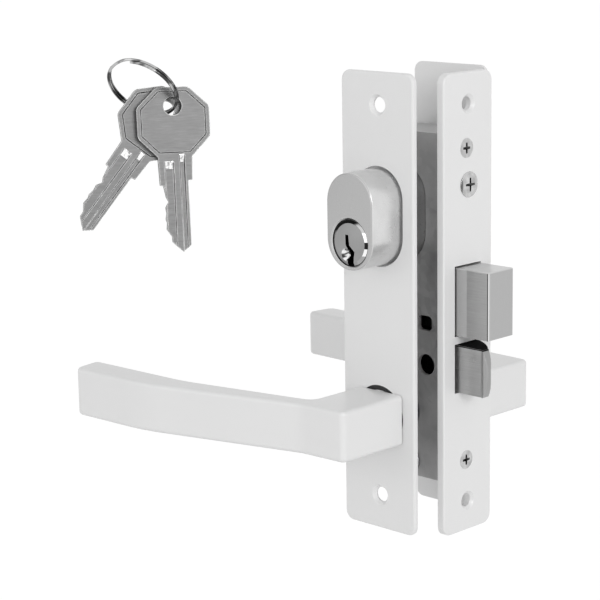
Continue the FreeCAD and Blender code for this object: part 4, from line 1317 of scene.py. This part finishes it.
@dataclass
class KeyPlug:
    """Turning plug of the cylinder: bevelled face ring, keyway and its flare."""

    axis_x: float = -16.2
    axis_z: float = 21.54
    front: float = -31.65
    end: float = -4.8
    radius: float = 7.1
    bevel_w: float = 1.2
    bevel_h: float = 0.5
    bevel_knee: Pair = (0.6, -0.2)
    gap_w: float = 0.3
    rim_r: float = 0.12
    lip: float = 0.06
    spigot_r: float = 4.2
    spigot_half: float = 3.0
    spigot_end: float = 3.2
    spigot_steps: int = 16
    keyway: tuple[Pair, ...] = (
        (-1.8, 2.36), (-0.6, 2.36), (-0.2, -0.74), (1.9, -2.54), (1.6, -4.24), (1.4, -7.64),
        (-1.1, -7.64), (-0.8, -4.34), (-0.2, -2.84), (-1.7, -0.74),
    )
    flare_at: Pair = (-1.5, -3.6)
    flare_r: Pair = (0.4, 1.85)
    flare_depth: float = 1.6
    flare_over: Pair = (0.35, 0.3)
    pins: tuple[float, ...] = (-27.8, -23.4, -19.0, -14.6, -10.2)
    pin_r: float = 1.46
    pin_foot: float = -1.7
    pin_over: float = 1.0
    ring_steps: int = 48

    def build(self) -> None:
        """Make the plug and dress it. Its own Z runs out of the cylinder, its Y up."""
        length, rim, step_z = self.end - self.front, self.radius, -self.bevel_h
        knee, knee_z = self.bevel_knee
        profile = [(0.0, -length), (rim, -length), (rim, step_z - self.rim_r),
                   (rim - self.rim_r, step_z), (rim - self.gap_w, step_z + self.lip),
                   (rim - self.bevel_w * knee, knee_z), (rim - self.bevel_w, 0.0), (0.0, 0.0)]
        plug = lathe("key_plug", profile, 96)
        combine(plug, [self._spigot()], Operation.JOIN)
        combine(plug, self._cutters(length))
        soften(plug, width=0.09, segments=2, above=32.0)
        dress(plug, "plug_nickel", "bright_nickel", "dark_recess", "plug_bevel_painted_light")
        self._shade(plug)
        place = (Matrix.Translation((self.axis_x, self.front, self.axis_z))
                 @ Matrix.Rotation(math.pi / 2, 4, "X"))
        fit(plug, place, "cylinder_plug", "plug")

    def _cutters(self, length: float) -> list[Piece]:
        """Make what is cut out of the plug.

        Args:
            length: Length of the plug.

        Returns:
            The bodies of the keyway, its flare and the pins' chambers.
        """
        low, high = self.flare_r
        over, above = self.flare_over
        flare = [[(x, y, z) for x, y in circle(radius, self.ring_steps, *self.flare_at)]
                 for radius, z in ((low, -self.flare_depth), (high, 0.0), (high + over, above))]
        cutters = [prism("way", self.keyway, -length - 0.5, 1.0), loft("flare", flare)]
        for pin in self.pins:
            ring = circle(self.pin_r, self.ring_steps, 0.0, self.front - pin)
            cutters.append(loft("chamber", [[(x, level, z) for x, z in ring] for level in
                                            (self.pin_foot, self.radius + self.pin_over)]))
        return cutters

    def _shade(self, plug: Piece) -> None:
        """Paint shade into the gap and the keyway, and painted reflections onto the bevel and the
        flare.

        Args:
            plug: The plug.
        """
        bright, dark, bevel = 1, 2, 3
        step_foot, face_z, slack = -0.75, -0.03, 0.05
        way_z, way_in, hair = -0.4, 0.3, 0.02
        flare_x, flare_y = self.flare_at
        for face in plug.data.polygons:
            x, y, z = face.center
            out = math.hypot(x, y)
            beside = math.hypot(x - flare_x, y - flare_y)
            in_gap = out > self.radius - self.gap_w - hair
            if step_foot < z < -self.bevel_h + slack and in_gap:
                face.material_index = dark
            elif step_foot < z < face_z and out > self.radius - self.bevel_w:
                face.material_index = bevel
            elif -self.flare_depth - slack < z < face_z and beside < self.flare_r[1]:
                face.material_index = bright
            elif z < way_z and out < self.radius - way_in:
                face.material_index = dark

    def _spigot(self) -> Piece:
        """Make the flat-sided spigot at the plug's inner end.

        Returns:
            The spigot, before it is joined to the plug.
        """
        outline = []
        edge = math.acos(self.spigot_half / self.spigot_r)
        for side in (0.0, math.pi):
            for step in range(self.spigot_steps + 1):
                angle = side + edge + (math.pi - 2 * edge) * step / self.spigot_steps
                outline.append((self.spigot_r * math.cos(angle), self.spigot_r * math.sin(angle)))
        foot = self.front - self.spigot_end
        return prism("spigot", outline, foot, self.front - self.end + 0.5)


@dataclass
class Studio:
    """Camera, floor, world and lamps."""

    place: Triple = (0.378652, -0.451956, 0.12717)
    lens: float = 119.69
    floor_z: float = -0.118
    floor_half: float = 12.0
    floor_white: float = 1.13
    floor_share: float = 0.8
    ambient: float = 1.04
    overhead: float = 0.40
    aim: Triple = (-0.03, 0.0, 0.0)
    lamps: Sequence[tuple[str, Triple, float, float]] = field(default_factory=lambda: (
        ("key_lamp", (1.25, -0.5, 0.4), 0.4, 5.3),
        ("fill_lamp", (-0.3, -1.4, 0.3), 0.9, 2.0),
    ))

    def build(self) -> None:
        """Set up everything that isn't part of the lock."""
        self._camera()
        self._world()
        self._floor()
        for name, place, size, power in self.lamps:
            self._lamp(name, Vector(place), size, power)
        bpy.context.scene.view_settings.view_transform = "Standard"

    def _camera(self) -> None:
        """Put the camera where the photograph was taken from."""
        data = bpy.data.cameras.new("camera")
        data.lens = self.lens
        data.sensor_width = 36.0
        data.clip_start, data.clip_end = 0.01, 60.0
        camera = hang("camera", data)
        camera.matrix_world = sight(self.place)
        bpy.context.scene.camera = camera

    def _world(self) -> None:
        """Pale surroundings, dimmer overhead, white where they are seen or mirrored."""
        world = bpy.data.worlds.new("studio")
        world.use_nodes = True
        bpy.context.scene.world = world
        sky = Wiring(world.node_tree)
        background = sky.tree.nodes["Background"]
        background.inputs["Color"].default_value = (1.0, 1.0, 1.0, 1.0)
        way = sky.node("ShaderNodeTexCoord")
        parts = sky.node("ShaderNodeSeparateXYZ")
        height = sky.node("ShaderNodeMapRange", to_min=self.ambient,
                          to_max=self.ambient * self.overhead)
        strength = sky.node("ShaderNodeMapRange", to_max=1.0)
        sky.join((way, "Generated", parts, "Vector"), (parts, "Z", height, "Value"),
                 (height, "Result", strength, "To Min"),
                 (self._seen(sky), "Value", strength, "Value"),
                 (strength, "Result", background, "Strength"))

    @staticmethod
    def _seen(wires: Wiring) -> Node:
        """Mask of what is seen directly, in gloss or through glass.

        Args:
            wires: The node tree to build it in.

        Returns:
            The node whose value is the mask.
        """
        paths = wires.node("ShaderNodeLightPath")
        either = wires.node("ShaderNodeMath", "MAXIMUM")
        seen = wires.node("ShaderNodeMath", "MAXIMUM")
        wires.join((paths, "Is Camera Ray", either, 0), (paths, "Is Glossy Ray", either, 1),
                   (either, "Value", seen, 0), (paths, "Is Transmission Ray", seen, 1))
        return seen

    def _floor(self) -> None:
        """Pale floor that reads as white to the camera and keeps the lock's shadow."""
        mesh = bpy.data.meshes.new("floor")
        corners_xy = ((-1, -1), (1, -1), (1, 1), (-1, 1))
        mesh.from_pydata([(self.floor_half * x, self.floor_half * y, self.floor_z)
                          for x, y in corners_xy], [], [(0, 1, 2, 3)])
        floor = hang("floor", mesh)
        paper = Dresser("floor_paper")
        grain = paper.group(grain_group, fine_scale=300.0, slow_scale=3.0)
        tone = paper.blend(grain.outputs["Drift"], grey(0.80), grey(0.82))
        paper.fill(paper.shader, base_color=tone, roughness=0.9)
        share = paper.node("ShaderNodeMath", "MULTIPLY", self.floor_share)
        white = paper.node("ShaderNodeEmission", strength=self.floor_white)
        mix = paper.node("ShaderNodeMixShader")
        paper.join((self._seen(paper), "Value", share, 0), (share, "Value", mix, "Fac"),
                   (paper.shader, "BSDF", mix, 1), (white, "Emission", mix, 2),
                   (mix, "Shader", paper.tree.nodes["Material Output"], "Surface"))
        mesh.materials.append(paper.material)

    def _lamp(self, name: str, place: Vector, size: float, power: float) -> None:
        """Add a soft square lamp that looks at the lock.

        Args:
            name: Name of the lamp.
            place: Where it hangs.
            size: Length of its side.
            power: Its power in watts.
        """
        data = bpy.data.lights.new(name, "AREA")
        data.shape = "SQUARE"
        data.size = size
        data.energy = power
        lamp = hang(name, data)
        lamp.location = place
        lamp.rotation_euler = (Vector(self.aim) - place).to_track_quat("-Z", "Y").to_euler()


def main() -> None:
    """Build the whole scene."""
    logging.basicConfig(level=logging.INFO, format="%(name)s: %(message)s")
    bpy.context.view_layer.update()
    Studio().build()
    for assembly in (CarriedNodes(), CrossScrews(), LatchHead(), ReturnSpring(), KeyPlug(),
                     KeyBunch()):
        assembly.build()
    log.info("scene built")


if __name__ == "__main__":
    main()
